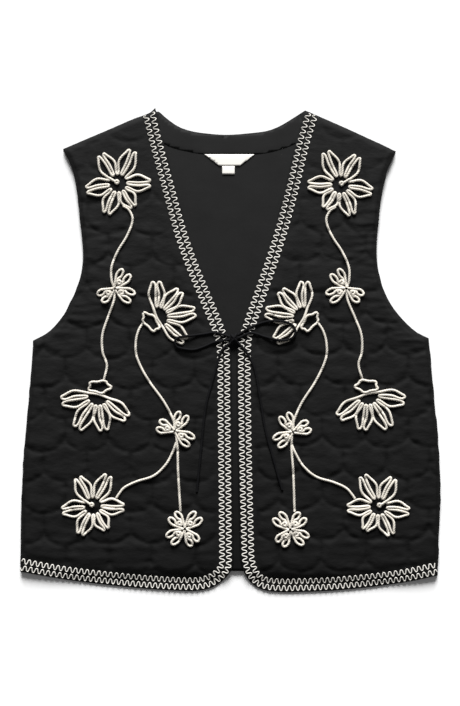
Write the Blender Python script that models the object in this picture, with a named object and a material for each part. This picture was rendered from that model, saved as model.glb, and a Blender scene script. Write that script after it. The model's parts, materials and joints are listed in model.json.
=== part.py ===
"""A quilted cotton waistcoat with couched cord flowers, laid flat on its back, its two fronts tied together.

Frame: metres, +X across the garment, +Y from hem to neck, +Z up from the surface that it lies on.
The origin is under the middle of the garment, on that surface. Sizes below are in millimetres."""

import math

import bmesh
import bpy
import numpy as np
from mathutils import Vector
from mathutils.bvhtree import BVHTree
from mathutils.geometry import delaunay_2d_cdt, interpolate_bezier

MM = 0.001
SEAM_GAP = 0.3  # between pieces that touch on the real garment
SKY = 100.0  # a height above everything, to look down from

# Layers, from the surface up
BACK_WALL = 3.0
LINING_WALL = 1.0
LINING_LOW = BACK_WALL + SEAM_GAP
LINING_TOP = LINING_LOW + LINING_WALL
FRONT_LOW = LINING_TOP + SEAM_GAP  # the underside of the fronts where the lining is below them
FRONT_WALL = 2.6
BOUND_EDGE_WALL = 1.5  # the turned edge of a front is pressed thinner
BOUND_EDGE_WIDTH = 2.5

# Where one piece ends short of another
BACK_INSET = 1.2  # the back, inside the fronts' outer edges
LINING_INSET = 7.3  # the lining, inside the back's edges
SEAM_FALL_WIDTH = 6.0  # the fronts come down to the back over this width along a seam

# The fronts' lower edge hangs past the back's hem and comes down to the surface
HEM_LIFT_OFF = 4.0  # above the back's hem, where the front starts to come down
HEM_CLEAR = 2.5  # past the back's hem, where it is still above the back's wall
HEM_LANDING = 11.0  # past the back's hem, where it reaches the surface
HEM_CLEAR_HEIGHT = BACK_WALL + 0.45

# Quilting: each stitched line runs straight down for NECK, then swings across by QUILT_PITCH over QUILT_BOW
QUILT_PITCH = 26.2
QUILT_BOW = 18.3
QUILT_NECK = 19.3
QUILT_HALF_PERIOD = QUILT_BOW + QUILT_NECK
QUILT_RISE = 2.2
QUILT_SHOULDER = 11.0  # from a stitched line to where the puff has its full height
QUILT_TIP = {"left": (-121.5, -142.3), "right": (138.0, -137.9)}
FLAT_SEAM_BAND = 1.0  # no puff this near a seam or an armhole
FLAT_TRIM_BAND = 17.5  # no puff under the wavy trim
PUFF_FADE = 9.0  # the puff grows to its full height over this width past the flat band

# Wavy trim: two rows of cord that run beside each other along the closing edge and the hem
TRIM_FROM_EDGE = {"outer": 5.1, "inner": 13.5}
TRIM_WIDTH = 7.0
TRIM_HEIGHT = 1.4

# Couched cord of the flowers
CORD_WIDTH = 2.0
CORD_HEIGHT = 1.8
MITRE_LIMIT = 4.0  # how far the inside of a sharp turn may reach, in half widths
TIP_LIMIT = 1.3  # and the outside
MOST_SLOPE = 0.25  # of what is laid on a panel, so that it rises and falls gently
LEVEL_TURN = 4.0  # points nearer than this along a cord have one height
ROOT_TURN = 1.7  # how far a turn between two loops dips below their roots

# Ties
TIE_DIAMETER = 3.0
TIE_STEP = 7.0
KNOT_AT = (4.9, 14.6)
KNOT_RADII = (6.0, 5.2, 4.0)
KNOT_HOLLOW = 0.2  # more room at the knot, whose side is round and the tie's end flat

# Outline of each front. Every stretch is a smooth curve through its (x, y) points.
FRONT_EDGES = {
    "left": {
        "closing": [
            (-91.0, 295.0), (-81.0, 253.8), (-67.5, 203.9), (-52.5, 149.4), (-39.4, 110.9),
            (-23.6, 72.2), (-6.8, 31.5), (0.2, 8.0), (1.8, -64.7), (3.7, -250.0), (3.1, -263.5),
            (-1.2, -272.5), (-9.8, -281.8), (-20.7, -288.8), (-34.0, -292.8),
        ],
        "hem": [(-34.0, -292.8), (-48.8, -293.8), (-97.6, -291.2), (-158.6, -285.1), (-207.4, -278.6),
                (-255.4, -269.6)],
        "side": [(-255.4, -269.6), (-254.8, -250.7), (-254.3, -195.8), (-250.6, -122.6), (-244.0, -49.4),
                 (-239.4, 11.6)],
        "armhole": [
            (-239.4, 11.6), (-219.0, 23.8), (-199.1, 48.2), (-187.3, 72.6), (-180.1, 97.0), (-179.2, 121.4),
            (-182.6, 158.0), (-186.6, 194.6), (-191.6, 219.0), (-203.5, 244.9),
        ],
        "shoulder": [(-203.5, 244.9), (-147.6, 268.6), (-118.0, 281.4), (-98.0, 288.9), (-91.0, 295.0)],
    },
    "right": {
        "closing": [
            (91.5, 292.0), (80.1, 253.4), (68.4, 203.7), (54.1, 149.3), (42.0, 110.6), (28.5, 71.7),
            (14.4, 31.2), (9.2, 10.0), (8.6, -64.7), (12.6, -250.0), (14.0, -259.5), (16.8, -269.6),
            (21.2, -278.2), (27.8, -285.6), (36.5, -291.0), (48.0, -294.0),
        ],
        "hem": [(48.0, -294.0), (61.0, -294.9), (75.6, -295.0), (134.2, -292.4), (207.4, -283.9),
                (252.8, -274.4)],
        "side": [(252.8, -274.4), (253.6, -240.0), (255.7, -195.8), (255.9, -159.0), (254.1, -122.6),
                 (247.7, -49.4), (241.9, 14.6)],
        "armhole": [
            (241.9, 14.6), (224.6, 23.8), (201.2, 48.2), (187.4, 72.6), (180.6, 97.0), (178.6, 121.4),
            (180.9, 158.0), (185.8, 194.6), (191.6, 219.0), (201.9, 242.0),
        ],
        "shoulder": [(201.9, 242.0), (146.2, 268.0), (91.5, 292.0)],
    },
}
TRIMMED = ("closing", "hem")
OUTLINE_STEP = {"closing": 12.0, "hem": 12.0, "side": 14.0, "armhole": 11.0, "shoulder": 13.0}
BACK_STEP = {"side": 40.0, "armhole": 11.0, "shoulder": 40.0}
BACK_NECK = [
    (91.5, 292.0), (76.2, 282.2), (61.6, 273.4), (47.0, 267.5), (32.3, 265.1), (-4.3, 262.3),
    (-33.6, 264.5), (-48.2, 267.1), (-62.8, 272.3), (-77.5, 282.6), (-91.0, 295.0),
]
BACK_HEM = [(-254.4, -268.6), (5.0, -268.8), (251.8, -273.4)]

# Label under the neck facing, with its small tab: half widths and heights
LABEL_X = -0.6
LABEL = {"top": 238.9, "bottom": 224.5, "top_half": 30.5, "bottom_half": 13.3}
TAB = {"left": -9.5, "right": 5.7, "bottom": 214.1}

# Petal loops of each flower: the angle of a loop's tip, how far it reaches, and the side it bulges to
OPEN_FLOWER = [
    (60.6, 45.0, -1), (71.3, 43.8, 1), (116.6, 38.9, -1), (128.9, 42.2, 1),
    (187.8, 39.3, -1), (198.7, 38.6, 1), (243.2, 41.5, -1), (254.2, 38.2, 1),
    (295.7, 33.7, -1), (309.0, 33.4, 1), (351.3, 39.5, -1), (364.0, 38.4, 1),
]
SIDE_FLOWER = [
    (183.0, 45.0, -1), (194.0, 45.0, 1), (230.0, 47.3, -1), (240.4, 47.8, 1),
    (273.6, 43.1, -1), (284.5, 42.8, 1), (314.0, 41.4, -1), (325.3, 47.2, 1),
]
SIX_PETALS = [(-6.0, 23.0, 0), (51.0, 25.0, 0), (95.0, 27.0, 0), (150.0, 22.0, 0), (215.0, 22.0, 0), (315.0, 24.0, 0)]
EIGHT_PETALS = [
    (20.0, 22.0, 0), (52.0, 24.0, 0), (128.0, 24.0, 0), (160.0, 22.0, 0),
    (205.0, 23.0, 0), (235.0, 24.0, 0), (305.0, 24.0, 0), (335.0, 23.0, 0),
]
# Each flower kind: its loops, the radius of the ring that they start from, how far a loop bulges,
# the angle of the first and last root, and the calyx at the two ends of an open one
KINDS = {
    "open": {"loops": OPEN_FLOWER, "ring": 11.6, "bulge": 7.4, "roots": (39.0, 384.0)},
    "side": {"loops": SIDE_FLOWER, "ring": 12.5, "bulge": 6.8, "roots": (165.0, 345.0)},
    "six": {"loops": SIX_PETALS, "ring": 6.2, "bulge": 4.2, "roots": (-31.0, 299.0)},
    "eight": {"loops": EIGHT_PETALS, "ring": 8.2, "bulge": 3.6, "roots": (6.0, 343.5)},
}
CALYX_START = [(4.0, 17.0), (-8.0, 16.0), (-13.5, 9.0)]
CALYX_END = [(15.0, 3.5), (19.0, 9.5), (9.0, 14.0)]

# Flowers of the left front, mirrored on the right one: kind, centre and turn in degrees.
# MIRROR_SHIFT moves the mirrored ones to where the right front carries them.
FLOWERS = {
    "shoulder_flower": ("open", (-136.0, 202.6), 0.0),
    "chest_blossom": ("six", (-138.5, 74.4), 0.0),
    "waist_flower": ("side", (-160.0, -54.0), 0.0),
    "neckline_flower": ("side", (-85.5, 44.0), 128.0),
    "middle_blossom": ("six", (-64.7, -95.8), 14.0),
    "hem_flower": ("open", (-168.4, -188.0), -3.0),
    "hem_blossom": ("eight", (-54.9, -216.0), 0.0),
}
MIRROR_SHIFT = {
    "shoulder_flower": (-1.3, -0.5), "chest_blossom": (2.0, -1.8), "waist_flower": (7.1, -1.2),
    "neckline_flower": (1.1, 0.0), "middle_blossom": (8.7, 0.0), "hem_flower": (13.6, -0.7),
    "hem_blossom": (17.3, -2.8),
}
# Stems of the left front: the flowers at their ends, which carry the mirrored stem along, and their route
STEMS = {
    "shoulder_stem": ("shoulder_flower", "chest_blossom",
                      [(-121.5, 167.0), (-118.3, 158.6), (-124.9, 139.1), (-136.6, 119.6), (-143.5, 104.5)]),
    "side_stem": ("chest_blossom", "waist_flower",
                  [(-142.5, 50.0), (-152.7, 29.6), (-155.2, 3.2), (-149.2, -18.3), (-151.5, -30.0)]),
    "middle_stem": ("neckline_flower", "middle_blossom",
                    [(-109.5, 29.0), (-114.2, 15.1), (-113.0, -8.9), (-99.7, -35.4), (-84.0, -57.5)]),
    "curved_stem": ("middle_blossom", "hem_flower",
                    [(-69.5, -123.5), (-78.1, -139.1), (-92.7, -152.5), (-114.2, -159.8), (-128.6, -167.1),
                     (-133.5, -170.0)]),
    "straight_stem": ("middle_blossom", "hem_blossom",
                      [(-63.5, -123.5), (-63.4, -144.0), (-61.8, -170.0), (-60.0, -187.0)]),
}

# Routes of the ties: the angle at which each leaves the knot, the points that it passes, and the angle at
# which a loop comes back to the knot. A tail ends free.
TIE_ROUTES = {
    "tie_loop_left": (158.0, [(-18.3, 21.5), (-30.0, 20.0), (-47.0, 17.6), (-60.2, 16.1), (-65.0, 14.0),
                              (-67.0, 9.3), (-65.0, 4.6), (-60.2, 2.5), (-45.0, 0.6), (-32.0, 4.2),
                              (-19.0, 9.8)], 196.0),
    "tie_loop_right": (42.0, [(28.1, 29.3), (48.8, 35.4), (66.0, 34.6), (75.6, 30.2), (79.4, 22.8),
                              (76.8, 16.0), (70.2, 12.6), (59.0, 12.2), (42.7, 16.4), (25.6, 21.0)], 4.0),
    "tie_tail_left": (240.0, [(-10.0, -0.5), (-15.9, -18.3), (-22.0, -39.0), (-29.8, -70.8),
                              (-35.9, -128.1), (-40.3, -172.0)], None),
    "tie_tail_right": (310.0, [(19.5, -2.0), (29.3, -20.3), (36.6, -58.6), (42.7, -95.2),
                               (54.9, -140.3), (63.4, -169.6)], None),
}


# ---------------------------------------------------------------- curves in the plane


def spaced(points, step):
    """The same line again, with points about step apart."""
    line = np.array(points, float)
    along = np.concatenate([[0.0], np.cumsum(np.linalg.norm(np.diff(line, axis=0), axis=1))])
    at = np.linspace(0.0, along[-1], max(2, round(along[-1] / step) + 1))
    return [Vector((np.interp(a, along, line[:, 0]), np.interp(a, along, line[:, 1]))) for a in at]


def smooth(keys, step, closed=False):
    """Points about step apart on a smooth curve through the keys."""
    keys = [Vector(k) for k in keys]
    count = len(keys)
    tangents = []
    for i in range(count):
        before = keys[i - 1] if closed or i else keys[0]
        after = keys[(i + 1) % count] if closed or i < count - 1 else keys[-1]
        tangents.append((after - before).normalized())
    fine = []
    for i in range(count if closed else count - 1):
        a, b = keys[i], keys[(i + 1) % count]
        reach = (b - a).length / 3
        fine += interpolate_bezier(a, a + tangents[i] * reach, b - tangents[(i + 1) % count] * reach, b, 24)[:-1]
    return spaced([*fine, keys[0] if closed else keys[-1]], step)


def inward_steps(outline):
    """At each point of a closed outline, the step inwards that moves both edges there by one."""
    area = sum(a.cross(b) for a, b in zip(outline, outline[1:] + outline[:1], strict=True))
    turn = 1 if area > 0 else -1
    steps = []
    for i, point in enumerate(outline):
        into = (point - outline[i - 1]).normalized()
        onward = (outline[(i + 1) % len(outline)] - point).normalized()
        middle = Vector((-into.y - onward.y, into.x + onward.x)).normalized() * turn
        steps.append(middle / max(0.4, middle.dot(Vector((-into.y, into.x)) * turn)))
    return steps


def distance(x, y, line, closed=True):
    """From a point to the nearest place on a line."""
    a = np.array(line, float)
    b = np.roll(a, -1, axis=0)
    if not closed:
        a, b = a[:-1], b[:-1]
    run = b - a
    t = np.clip(((x - a[:, 0]) * run[:, 0] + (y - a[:, 1]) * run[:, 1]) / np.maximum((run**2).sum(1), 1e-9), 0, 1)
    return float(np.hypot(a[:, 0] + t * run[:, 0] - x, a[:, 1] + t * run[:, 1] - y).min())


def inside(x, y, outline):
    """Whether a point is inside a closed outline."""
    found = False
    for a, b in zip(outline, outline[1:] + outline[:1], strict=True):
        if (a.y > y) != (b.y > y) and x < a.x + (y - a.y) / (b.y - a.y) * (b.x - a.x):
            found = not found
    return found


def ramp(value, low, high):
    """0 below low, 1 above high, and straight between."""
    return min(1.0, max(0.0, (value - low) / (high - low)))


def back_hem_y(x):
    """Where the back's hem is at x."""
    return float(np.interp(x, [p[0] for p in BACK_HEM], [p[1] for p in BACK_HEM]))


# ---------------------------------------------------------------- objects and materials

SURFACES = []  # for what is laid on a piece: its tree, in millimetres, and the corners of its box


def material(name, colour, roughness):
    """A Principled material with one colour."""
    made = bpy.data.materials.new(name)
    made.use_nodes = True
    shader = made.node_tree.nodes["Principled BSDF"]
    shader.inputs["Base Color"].default_value = (*colour, 1.0)
    shader.inputs["Roughness"].default_value = roughness
    shader.inputs["Metallic"].default_value = 0.0
    return made


def add_object(name, data, look):
    """Puts a mesh or a curve in the scene with its material."""
    obj = bpy.data.objects.new(name, data)
    data.materials.append(look)
    bpy.context.scene.collection.objects.link(obj)
    return obj


def add_solid(name, bm, look):
    """Turns a bmesh in millimetres into an object in metres."""
    bmesh.ops.recalc_face_normals(bm, faces=bm.faces)
    places = np.array([v.co[:2] for v in bm.verts])
    SURFACES.append((BVHTree.FromBMesh(bm), places.min(0), places.max(0)))
    bmesh.ops.scale(bm, vec=(MM, MM, MM), verts=bm.verts)
    mesh = bpy.data.meshes.new(name)
    bm.to_mesh(mesh)
    bm.free()
    return add_object(name, mesh, look)


def plate(name, outline, low, high, look):
    """A flat piece of cloth with this outline between two heights."""
    bm = bmesh.new()
    face = bm.faces.new([bm.verts.new((p.x, p.y, low)) for p in outline])
    grown = bmesh.ops.extrude_face_region(bm, geom=[face])
    raised = [v for v in grown["geom"] if isinstance(v, bmesh.types.BMVert)]
    bmesh.ops.translate(bm, vec=(0, 0, high - low), verts=raised)
    return add_solid(name, bm, look)


def top_of(x, y):
    """The height of whatever lies highest at x, y."""
    highest = 0.0
    for tree, (low_x, low_y), (high_x, high_y) in SURFACES:
        if low_x <= x <= high_x and low_y <= y <= high_y:
            hit = tree.ray_cast(Vector((x, y, SKY)), Vector((0, 0, -1)))[0]
            highest = max(highest, hit.z if hit else 0.0)
    return highest


def highest_under(start, end, half, step):
    """The highest top below a straight piece from start to end that reaches half to each side."""
    along = (end - start).normalized()
    across = Vector((-along.y, along.x)) * half
    count = max(2, math.ceil((end - start).length / step) + 1)
    wide = max(3, math.ceil(2 * half / step) + 1)
    highest = 0.0
    for i in range(count):
        place = start.lerp(end, i / (count - 1))
        for j in range(wide):
            highest = max(highest, top_of(*(place + across * (2 * j / (wide - 1) - 1))))
    return highest


def resting_heights(line, half, step, closed=False):
    """For each point of a line, a height at which straight pieces between the points clear what is below."""
    count = len(line)
    pieces = [highest_under(line[i], line[(i + 1) % count], half, step) for i in range(count if closed else count - 1)]
    if closed:
        heights = [max(pieces[i - 1], pieces[i]) for i in range(count)]
    else:
        heights = [max(pieces[max(i - 1, 0)], pieces[min(i, count - 2)]) for i in range(count)]
    for order in (range(count), reversed(range(count))) * 2:
        for i in order:
            for j in (i - 1, i + 1):
                if closed or 0 <= j < count:
                    drop = MOST_SLOPE * max(0.0, (line[i] - line[j % count]).length - LEVEL_TURN)
                    heights[i] = max(heights[i], heights[j % count] - drop)
    return heights


# ---------------------------------------------------------------- the back, its lining and its facing


def front_stretch(side, *stretches):
    """The points of some of a front's stretches, one after the other, and the name of each point's stretch."""
    points, names = [], []
    for stretch in stretches:
        found = smooth(FRONT_EDGES[side][stretch], OUTLINE_STEP[stretch])[:-1]
        points += found
        names += [stretch] * len(found)
    return points, names


def inset_line(line, by, turn):
    """An open line moved sideways, to its left for a turn of 1 and to its right for -1."""
    moved = []
    for i, point in enumerate(line):
        along = (line[min(i + 1, len(line) - 1)] - line[max(i - 1, 0)]).normalized()
        moved.append(point + Vector((-along.y, along.x)) * turn * by)
    return moved


def outer_edges(inset):
    """The back's two outer edges, from hem to neck, moved inwards."""
    edges = {}
    for side, turn in (("left", -1), ("right", 1)):
        edges[side] = []
        for stretch in ("side", "armhole", "shoulder"):
            line = smooth(FRONT_EDGES[side][stretch], BACK_STEP[stretch])
            edges[side] += inset_line(line, inset, turn)[1:-1]
    return edges


def build_back(look):
    edges = outer_edges(BACK_INSET)
    neck = inset_line(smooth(BACK_NECK, 9.0), BACK_INSET, 1)[1:-1]
    hem = spaced(BACK_HEM, 40.0)
    outline = [*hem, *edges["right"], *neck, *reversed(edges["left"])]
    return plate("back_panel", outline, 0.0, BACK_WALL, look)


def facing_seam(step):
    """The line where the neck facing meets the lining, from right to left."""
    keys = [(97.0, 262.0), (75.6, 250.1), (52.0, 242.2), (30.5, 238.9), (0.0, 238.2), (-31.7, 238.9),
            (-54.9, 242.8), (-78.1, 250.1), (-99.0, 264.0)]
    return smooth(keys, step)


def build_lining(lining_look, facing_look):
    inset = BACK_INSET + LINING_INSET
    edges = outer_edges(inset)
    seam = facing_seam(9.0)
    hem = [Vector((p.x * (1 - inset / 256.0), p.y + LINING_INSET)) for p in spaced(BACK_HEM, 40.0)]
    right = [p for p in edges["right"] if p.x > seam[0].x + 2.0]
    left = [p for p in edges["left"] if p.x < seam[-1].x - 2.0]
    below = [p - Vector((0, SEAM_GAP)) for p in seam]
    plate("back_lining", [*hem, *right, *below, *reversed(left)], LINING_LOW, LINING_TOP, lining_look)
    neck = inset_line(smooth(BACK_NECK, 9.0), BACK_INSET + 1.0, 1)[1:-1]
    kept = [p for p in neck if seam[-1].x < p.x < seam[0].x and abs(p.x) < 84.0]
    outline = [*reversed(seam), *kept]
    plate("neck_facing", outline, LINING_LOW, LINING_TOP, facing_look)


def build_label(look):
    low = LINING_TOP + SEAM_GAP
    corners = [(-LABEL["top_half"], LABEL["top"] - 1.4), (-LABEL["bottom_half"], LABEL["bottom"]),
               (LABEL["bottom_half"], LABEL["bottom"]), (LABEL["top_half"], LABEL["top"] - 1.4)]
    outline = [Vector((LABEL_X + x, y)) for x, y in corners]
    plate("neck_label", outline, low, low + 1.0, look)
    top = LABEL["bottom"] - SEAM_GAP
    tab = [(TAB["left"], top), (TAB["left"], TAB["bottom"]), (TAB["right"], TAB["bottom"]), (TAB["right"], top)]
    plate("label_tab", [Vector(p) for p in tab], low, low + 1.0, look)


# ---------------------------------------------------------------- the quilted fronts


def quilt_line(tip_x, tip_y, column, low, high):
    """One stitched line: it runs between the axes of two neighbouring columns, swinging to and fro."""
    points = []
    odd = column % 2
    axis = tip_x + column * QUILT_PITCH
    first = math.floor((low - tip_y) / (2 * QUILT_HALF_PERIOD)) - 1
    last = math.ceil((high - tip_y) / (2 * QUILT_HALF_PERIOD)) + 1
    quarter = [math.pi / 2 * i / 3 for i in range(4)]
    for turn in range(last, first, -1):
        y = tip_y + 2 * QUILT_HALF_PERIOD * turn - odd * QUILT_HALF_PERIOD
        out = [(axis + QUILT_PITCH * (1 - math.cos(t)), y - QUILT_BOW * math.sin(t)) for t in quarter]
        back_y = y - QUILT_HALF_PERIOD
        back = [(axis + QUILT_PITCH * math.cos(t), back_y - QUILT_BOW * math.sin(t)) for t in quarter]
        middle = QUILT_BOW + QUILT_NECK / 2
        points += [*out, (axis + QUILT_PITCH, y - middle), *back, (axis, back_y - middle)]
    return [Vector(p) for p in points if low <= p[1] <= high]


def onion_points(x, y):
    """Points on the puff between stitched lines whose tip is at x, y: two rings and a middle."""
    height = 2 * QUILT_BOW + QUILT_NECK
    centre = Vector((x, y - 0.54 * height))
    shape = []
    for i in range(10):
        angle = 2 * math.pi * i / 10 + math.pi / 2
        bulge = QUILT_PITCH * math.cos(angle)
        rise = height / 2 * math.sin(angle)
        shape.append(Vector((bulge * (1.0 if rise < 8 else 0.8), rise)))
    rings = [centre + 0.66 * p for p in shape] + [centre + 0.33 * p for p in shape[::2]]
    return [*rings, centre]


class Front:
    """One front panel: its outline, its stitched lines and its heights."""

    def __init__(self, side):
        self.side = side
        self.outline, self.stretches = front_stretch(side, "closing", "hem", "side", "armhole", "shoulder")
        self.steps = inward_steps(self.outline)
        self.trimmed = smooth(FRONT_EDGES[side]["closing"], 5.0) + smooth(FRONT_EDGES[side]["hem"], 5.0)
        self.seamed = sum((smooth(FRONT_EDGES[side][s], 5.0) for s in ("side", "armhole", "shoulder")), [])
        tip_x, tip_y = QUILT_TIP[side]
        self.lines = [quilt_line(tip_x, tip_y, column, -300.0, 300.0) for column in range(-8, 9)]
        self.stitches = [p for line in self.lines for p in spaced(line, 2.0)]
        self.stitch_array = np.array([(p.x, p.y) for p in self.stitches])

    def from_edge(self, x, y):
        return distance(x, y, self.outline)

    def low(self, x, y):
        """The height of the underside."""
        seam = distance(x, y, self.seamed, closed=False)
        over_lining = LINING_LOW + (FRONT_LOW - LINING_LOW) * ramp(seam, 0.0, SEAM_FALL_WIDTH)
        past_hem = back_hem_y(x) - y
        start = min(over_lining, FRONT_LOW)
        if past_hem <= -HEM_LIFT_OFF:
            return start
        if past_hem <= HEM_CLEAR:
            return start + (HEM_CLEAR_HEIGHT - start) * ramp(past_hem, -HEM_LIFT_OFF, HEM_CLEAR)
        return HEM_CLEAR_HEIGHT * (1 - ramp(past_hem, HEM_CLEAR, HEM_LANDING))

    def wall(self, x, y):
        """The cloth's thickness, which is less at its turned edge and more between the stitched lines."""
        edge = self.from_edge(x, y)
        flat = BOUND_EDGE_WALL + (FRONT_WALL - BOUND_EDGE_WALL) * ramp(edge, 0.0, BOUND_EDGE_WIDTH)
        from_trim = distance(x, y, self.trimmed, closed=False)
        fade = min(ramp(edge, FLAT_SEAM_BAND, FLAT_SEAM_BAND + PUFF_FADE),
                   ramp(from_trim, FLAT_TRIM_BAND, FLAT_TRIM_BAND + PUFF_FADE))
        stitched = float(np.hypot(self.stitch_array[:, 0] - x, self.stitch_array[:, 1] - y).min())
        puff = 1 - (1 - min(stitched / QUILT_SHOULDER, 1.0)) ** 2
        return flat + QUILT_RISE * fade * puff

    def hem_lines(self):
        """Points where the front starts to come down past the back's hem, and where it lands."""
        lines = []
        for past in (-HEM_LIFT_OFF, HEM_CLEAR, HEM_LANDING):
            xs = np.arange(-250.0, 1.0, 14.0) if self.side == "left" else np.arange(14.0, 251.0, 14.0)
            lines.append([Vector((x, back_hem_y(x) - past)) for x in xs])
        return lines

    def ring(self, depths):
        """Points inside the outline, at a depth that depends on the stretch."""
        found = []
        for point, step, stretch in zip(self.outline, self.steps, self.stretches, strict=True):
            depth = depths["trim" if stretch in TRIMMED else "seam"]
            place = point + step * depth
            if self.from_edge(*place) > 0.9 * depth:
                found.append(place)
        return found

    def mesh_points(self, lines, margin, apart):
        """The outline's points and then the others, none of them crowded, and the edges along the lines."""
        points = list(self.outline)
        edges = []

        def add(point, room):
            if not inside(*point, self.outline) or self.from_edge(*point) < margin:
                return None
            if min((point - p).length for p in points) < room:
                return None
            points.append(point)
            return len(points) - 1

        for line in lines:
            before = None
            for point in line:
                index = add(point, apart)
                if index is not None and before is not None and (points[before] - point).length < 22.0:
                    edges.append((before, index))
                before = index
        return points, edges

    def triangulate(self, points, edges):
        """Triangles over the whole outline through every point."""
        rim = len(self.outline)
        around = [(i, (i + 1) % rim) for i in range(rim)]
        places, _, faces, ids, _, _ = delaunay_2d_cdt(points, around + edges, [], 1, 1e-5, True)
        kept = [f for f in faces if inside(*sum((places[i] for i in f), Vector((0, 0))) / 3, self.outline)]
        return places, kept, ids

    def build(self, look):
        bm = bmesh.new()
        top_rings = [self.ring({"trim": BOUND_EDGE_WIDTH, "seam": BOUND_EDGE_WIDTH})]
        top_rings.append(self.ring({"trim": FLAT_TRIM_BAND, "seam": FLAT_SEAM_BAND + PUFF_FADE}))
        puffs = []
        tip_x, tip_y = QUILT_TIP[self.side]
        for column in range(-9, 10):
            for row in range(-8, 9):
                y = tip_y + 2 * QUILT_HALF_PERIOD * row - (column % 2) * QUILT_HALF_PERIOD
                puffs += onion_points(tip_x + column * QUILT_PITCH, y)
        points, edges = self.mesh_points([*top_rings, *self.hem_lines(), *self.lines], 1.9, 4.6)
        puffs = [p for p in puffs if self.clear_of(points, p)]
        points += puffs
        tops, top_faces, top_ids = self.triangulate(points, edges)
        low_ring = self.ring({"trim": 9.0, "seam": SEAM_FALL_WIDTH})
        points, edges = self.mesh_points([low_ring, *self.hem_lines()], 1.9, 3.0)
        lows, low_faces, low_ids = self.triangulate(points, edges)

        def placed(places, ids, height):
            verts = [bm.verts.new((p.x, p.y, height(p.x, p.y))) for p in places]
            by_input = {i: vert for vert, found in zip(verts, ids, strict=True) for i in found}
            return verts, [by_input[i] for i in range(len(self.outline))]

        low_verts, low_rim = placed(lows, low_ids, self.low)
        top_verts, top_rim = placed(tops, top_ids, lambda x, y: self.low(x, y) + self.wall(x, y))
        for verts, faces in ((top_verts, top_faces), (low_verts, low_faces)):
            for face in faces:
                bm.faces.new([verts[i] for i in face])
        for i in range(len(self.outline)):
            j = (i + 1) % len(self.outline)
            bm.faces.new([low_rim[i], low_rim[j], top_rim[j], top_rim[i]])
        return add_solid(f"front_{self.side}", bm, look)

    def clear_of(self, points, place):
        """Whether a point of a puff is well inside the front and not crowded."""
        if not inside(*place, self.outline) or self.from_edge(*place) < FLAT_SEAM_BAND + PUFF_FADE:
            return False
        if distance(*place, self.trimmed, closed=False) < FLAT_TRIM_BAND + 4.0:
            return False
        return min((place - p).length for p in points) > 4.6


# ---------------------------------------------------------------- what is laid on the fronts


def laid_strip(name, line, profile, look, closed=False):
    """A strip with this section, (across, up) from its middle line, that lies on whatever is below it."""
    bm = bmesh.new()
    rings = []
    count = len(line)
    half = max(across for across, _ in profile)
    heights = resting_heights(line, half, 2.0, closed)
    for i, point in enumerate(line):
        into = point - line[i - 1] if closed or i else line[1] - line[0]
        onward = line[(i + 1) % count] - point if closed or i < count - 1 else into
        into, onward = into.normalized(), onward.normalized()
        across = Vector((-into.y - onward.y, into.x + onward.x)).normalized()
        half_turn = math.acos(max(-1.0, min(1.0, into.dot(onward)))) / 2
        mitre = min(MITRE_LIMIT, 1 / math.cos(half_turn))
        bend = into.cross(onward)
        ring = []
        for side, up in profile:
            reach = side * (mitre if side * bend > 0 else min(mitre, TIP_LIMIT))
            place = point + across * reach
            ring.append(bm.verts.new((place.x, place.y, heights[i] + SEAM_GAP + up)))
        rings.append(ring)
    pairs = list(zip(rings, rings[1:], strict=False)) + ([(rings[-1], rings[0])] if closed else [])
    for a, b in pairs:
        for k in range(len(profile)):
            m = (k + 1) % len(profile)
            bm.faces.new([a[k], a[m], b[m], b[k]])
    if not closed:
        bm.faces.new(rings[0])
        bm.faces.new(reversed(rings[-1]))
    return add_solid(name, bm, look)


def build_trim(side, look):
    """The two rows of wavy cord, each as one plain strip of its full width."""
    half = TRIM_WIDTH / 2
    profile = [(-half, 0.0), (half, 0.0), (half - 0.6, TRIM_HEIGHT), (-half + 0.6, TRIM_HEIGHT)]
    turn = 1 if side == "right" else -1
    edge = smooth(FRONT_EDGES[side]["closing"], 3.0) + smooth(FRONT_EDGES[side]["hem"], 3.0)[1:]
    for row, depth in TRIM_FROM_EDGE.items():
        line = spaced(inset_line(edge, depth, turn)[3:-2], 12.5)
        laid_strip(f"trim_{row}_{side}", line, profile, look)


def from_angle(degrees, length):
    """The point at this angle and distance from a flower's centre."""
    return Vector((math.cos(math.radians(degrees)), math.sin(math.radians(degrees)))) * length


def flower_route(kind, centre, turn, mirrored):
    """The line of the cord through a flower's loops, and whether it closes."""
    facts = KINDS[kind]
    loops, ring, bulge = facts["loops"], facts["ring"], facts["bulge"]
    first, last = facts["roots"]
    step = (last - first) / (2 * len(loops) - 1)
    route = []
    for i, (angle, reach, side) in enumerate(loops):
        axis = from_angle(angle, 1.0)
        across = Vector((-axis.y, axis.x))
        start = first + 2 * i * step
        out, back = {-1: (bulge, 1.6), 0: (bulge, bulge), 1: (1.6, bulge)}[side]
        middle = ring + 0.62 * (reach - ring)
        route += [from_angle(start, ring), axis * middle - across * out, axis * reach,
                  axis * middle + across * back, from_angle(start + step, ring),
                  from_angle(start + 1.5 * step, ring - ROOT_TURN)]
    closed = kind != "side"
    if closed:
        route[-1] = from_angle((last + first + 360.0) / 2, ring - ROOT_TURN)
    else:
        route = [Vector(p) for p in CALYX_START] + route[:-1] + [Vector(p) for p in CALYX_END]
    cosine, sine = math.cos(math.radians(turn)), math.sin(math.radians(turn))
    flip = -1 if mirrored else 1
    return [Vector((flip * (centre[0] + p.x * cosine - p.y * sine), centre[1] + p.x * sine + p.y * cosine))
            for p in route], closed


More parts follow.
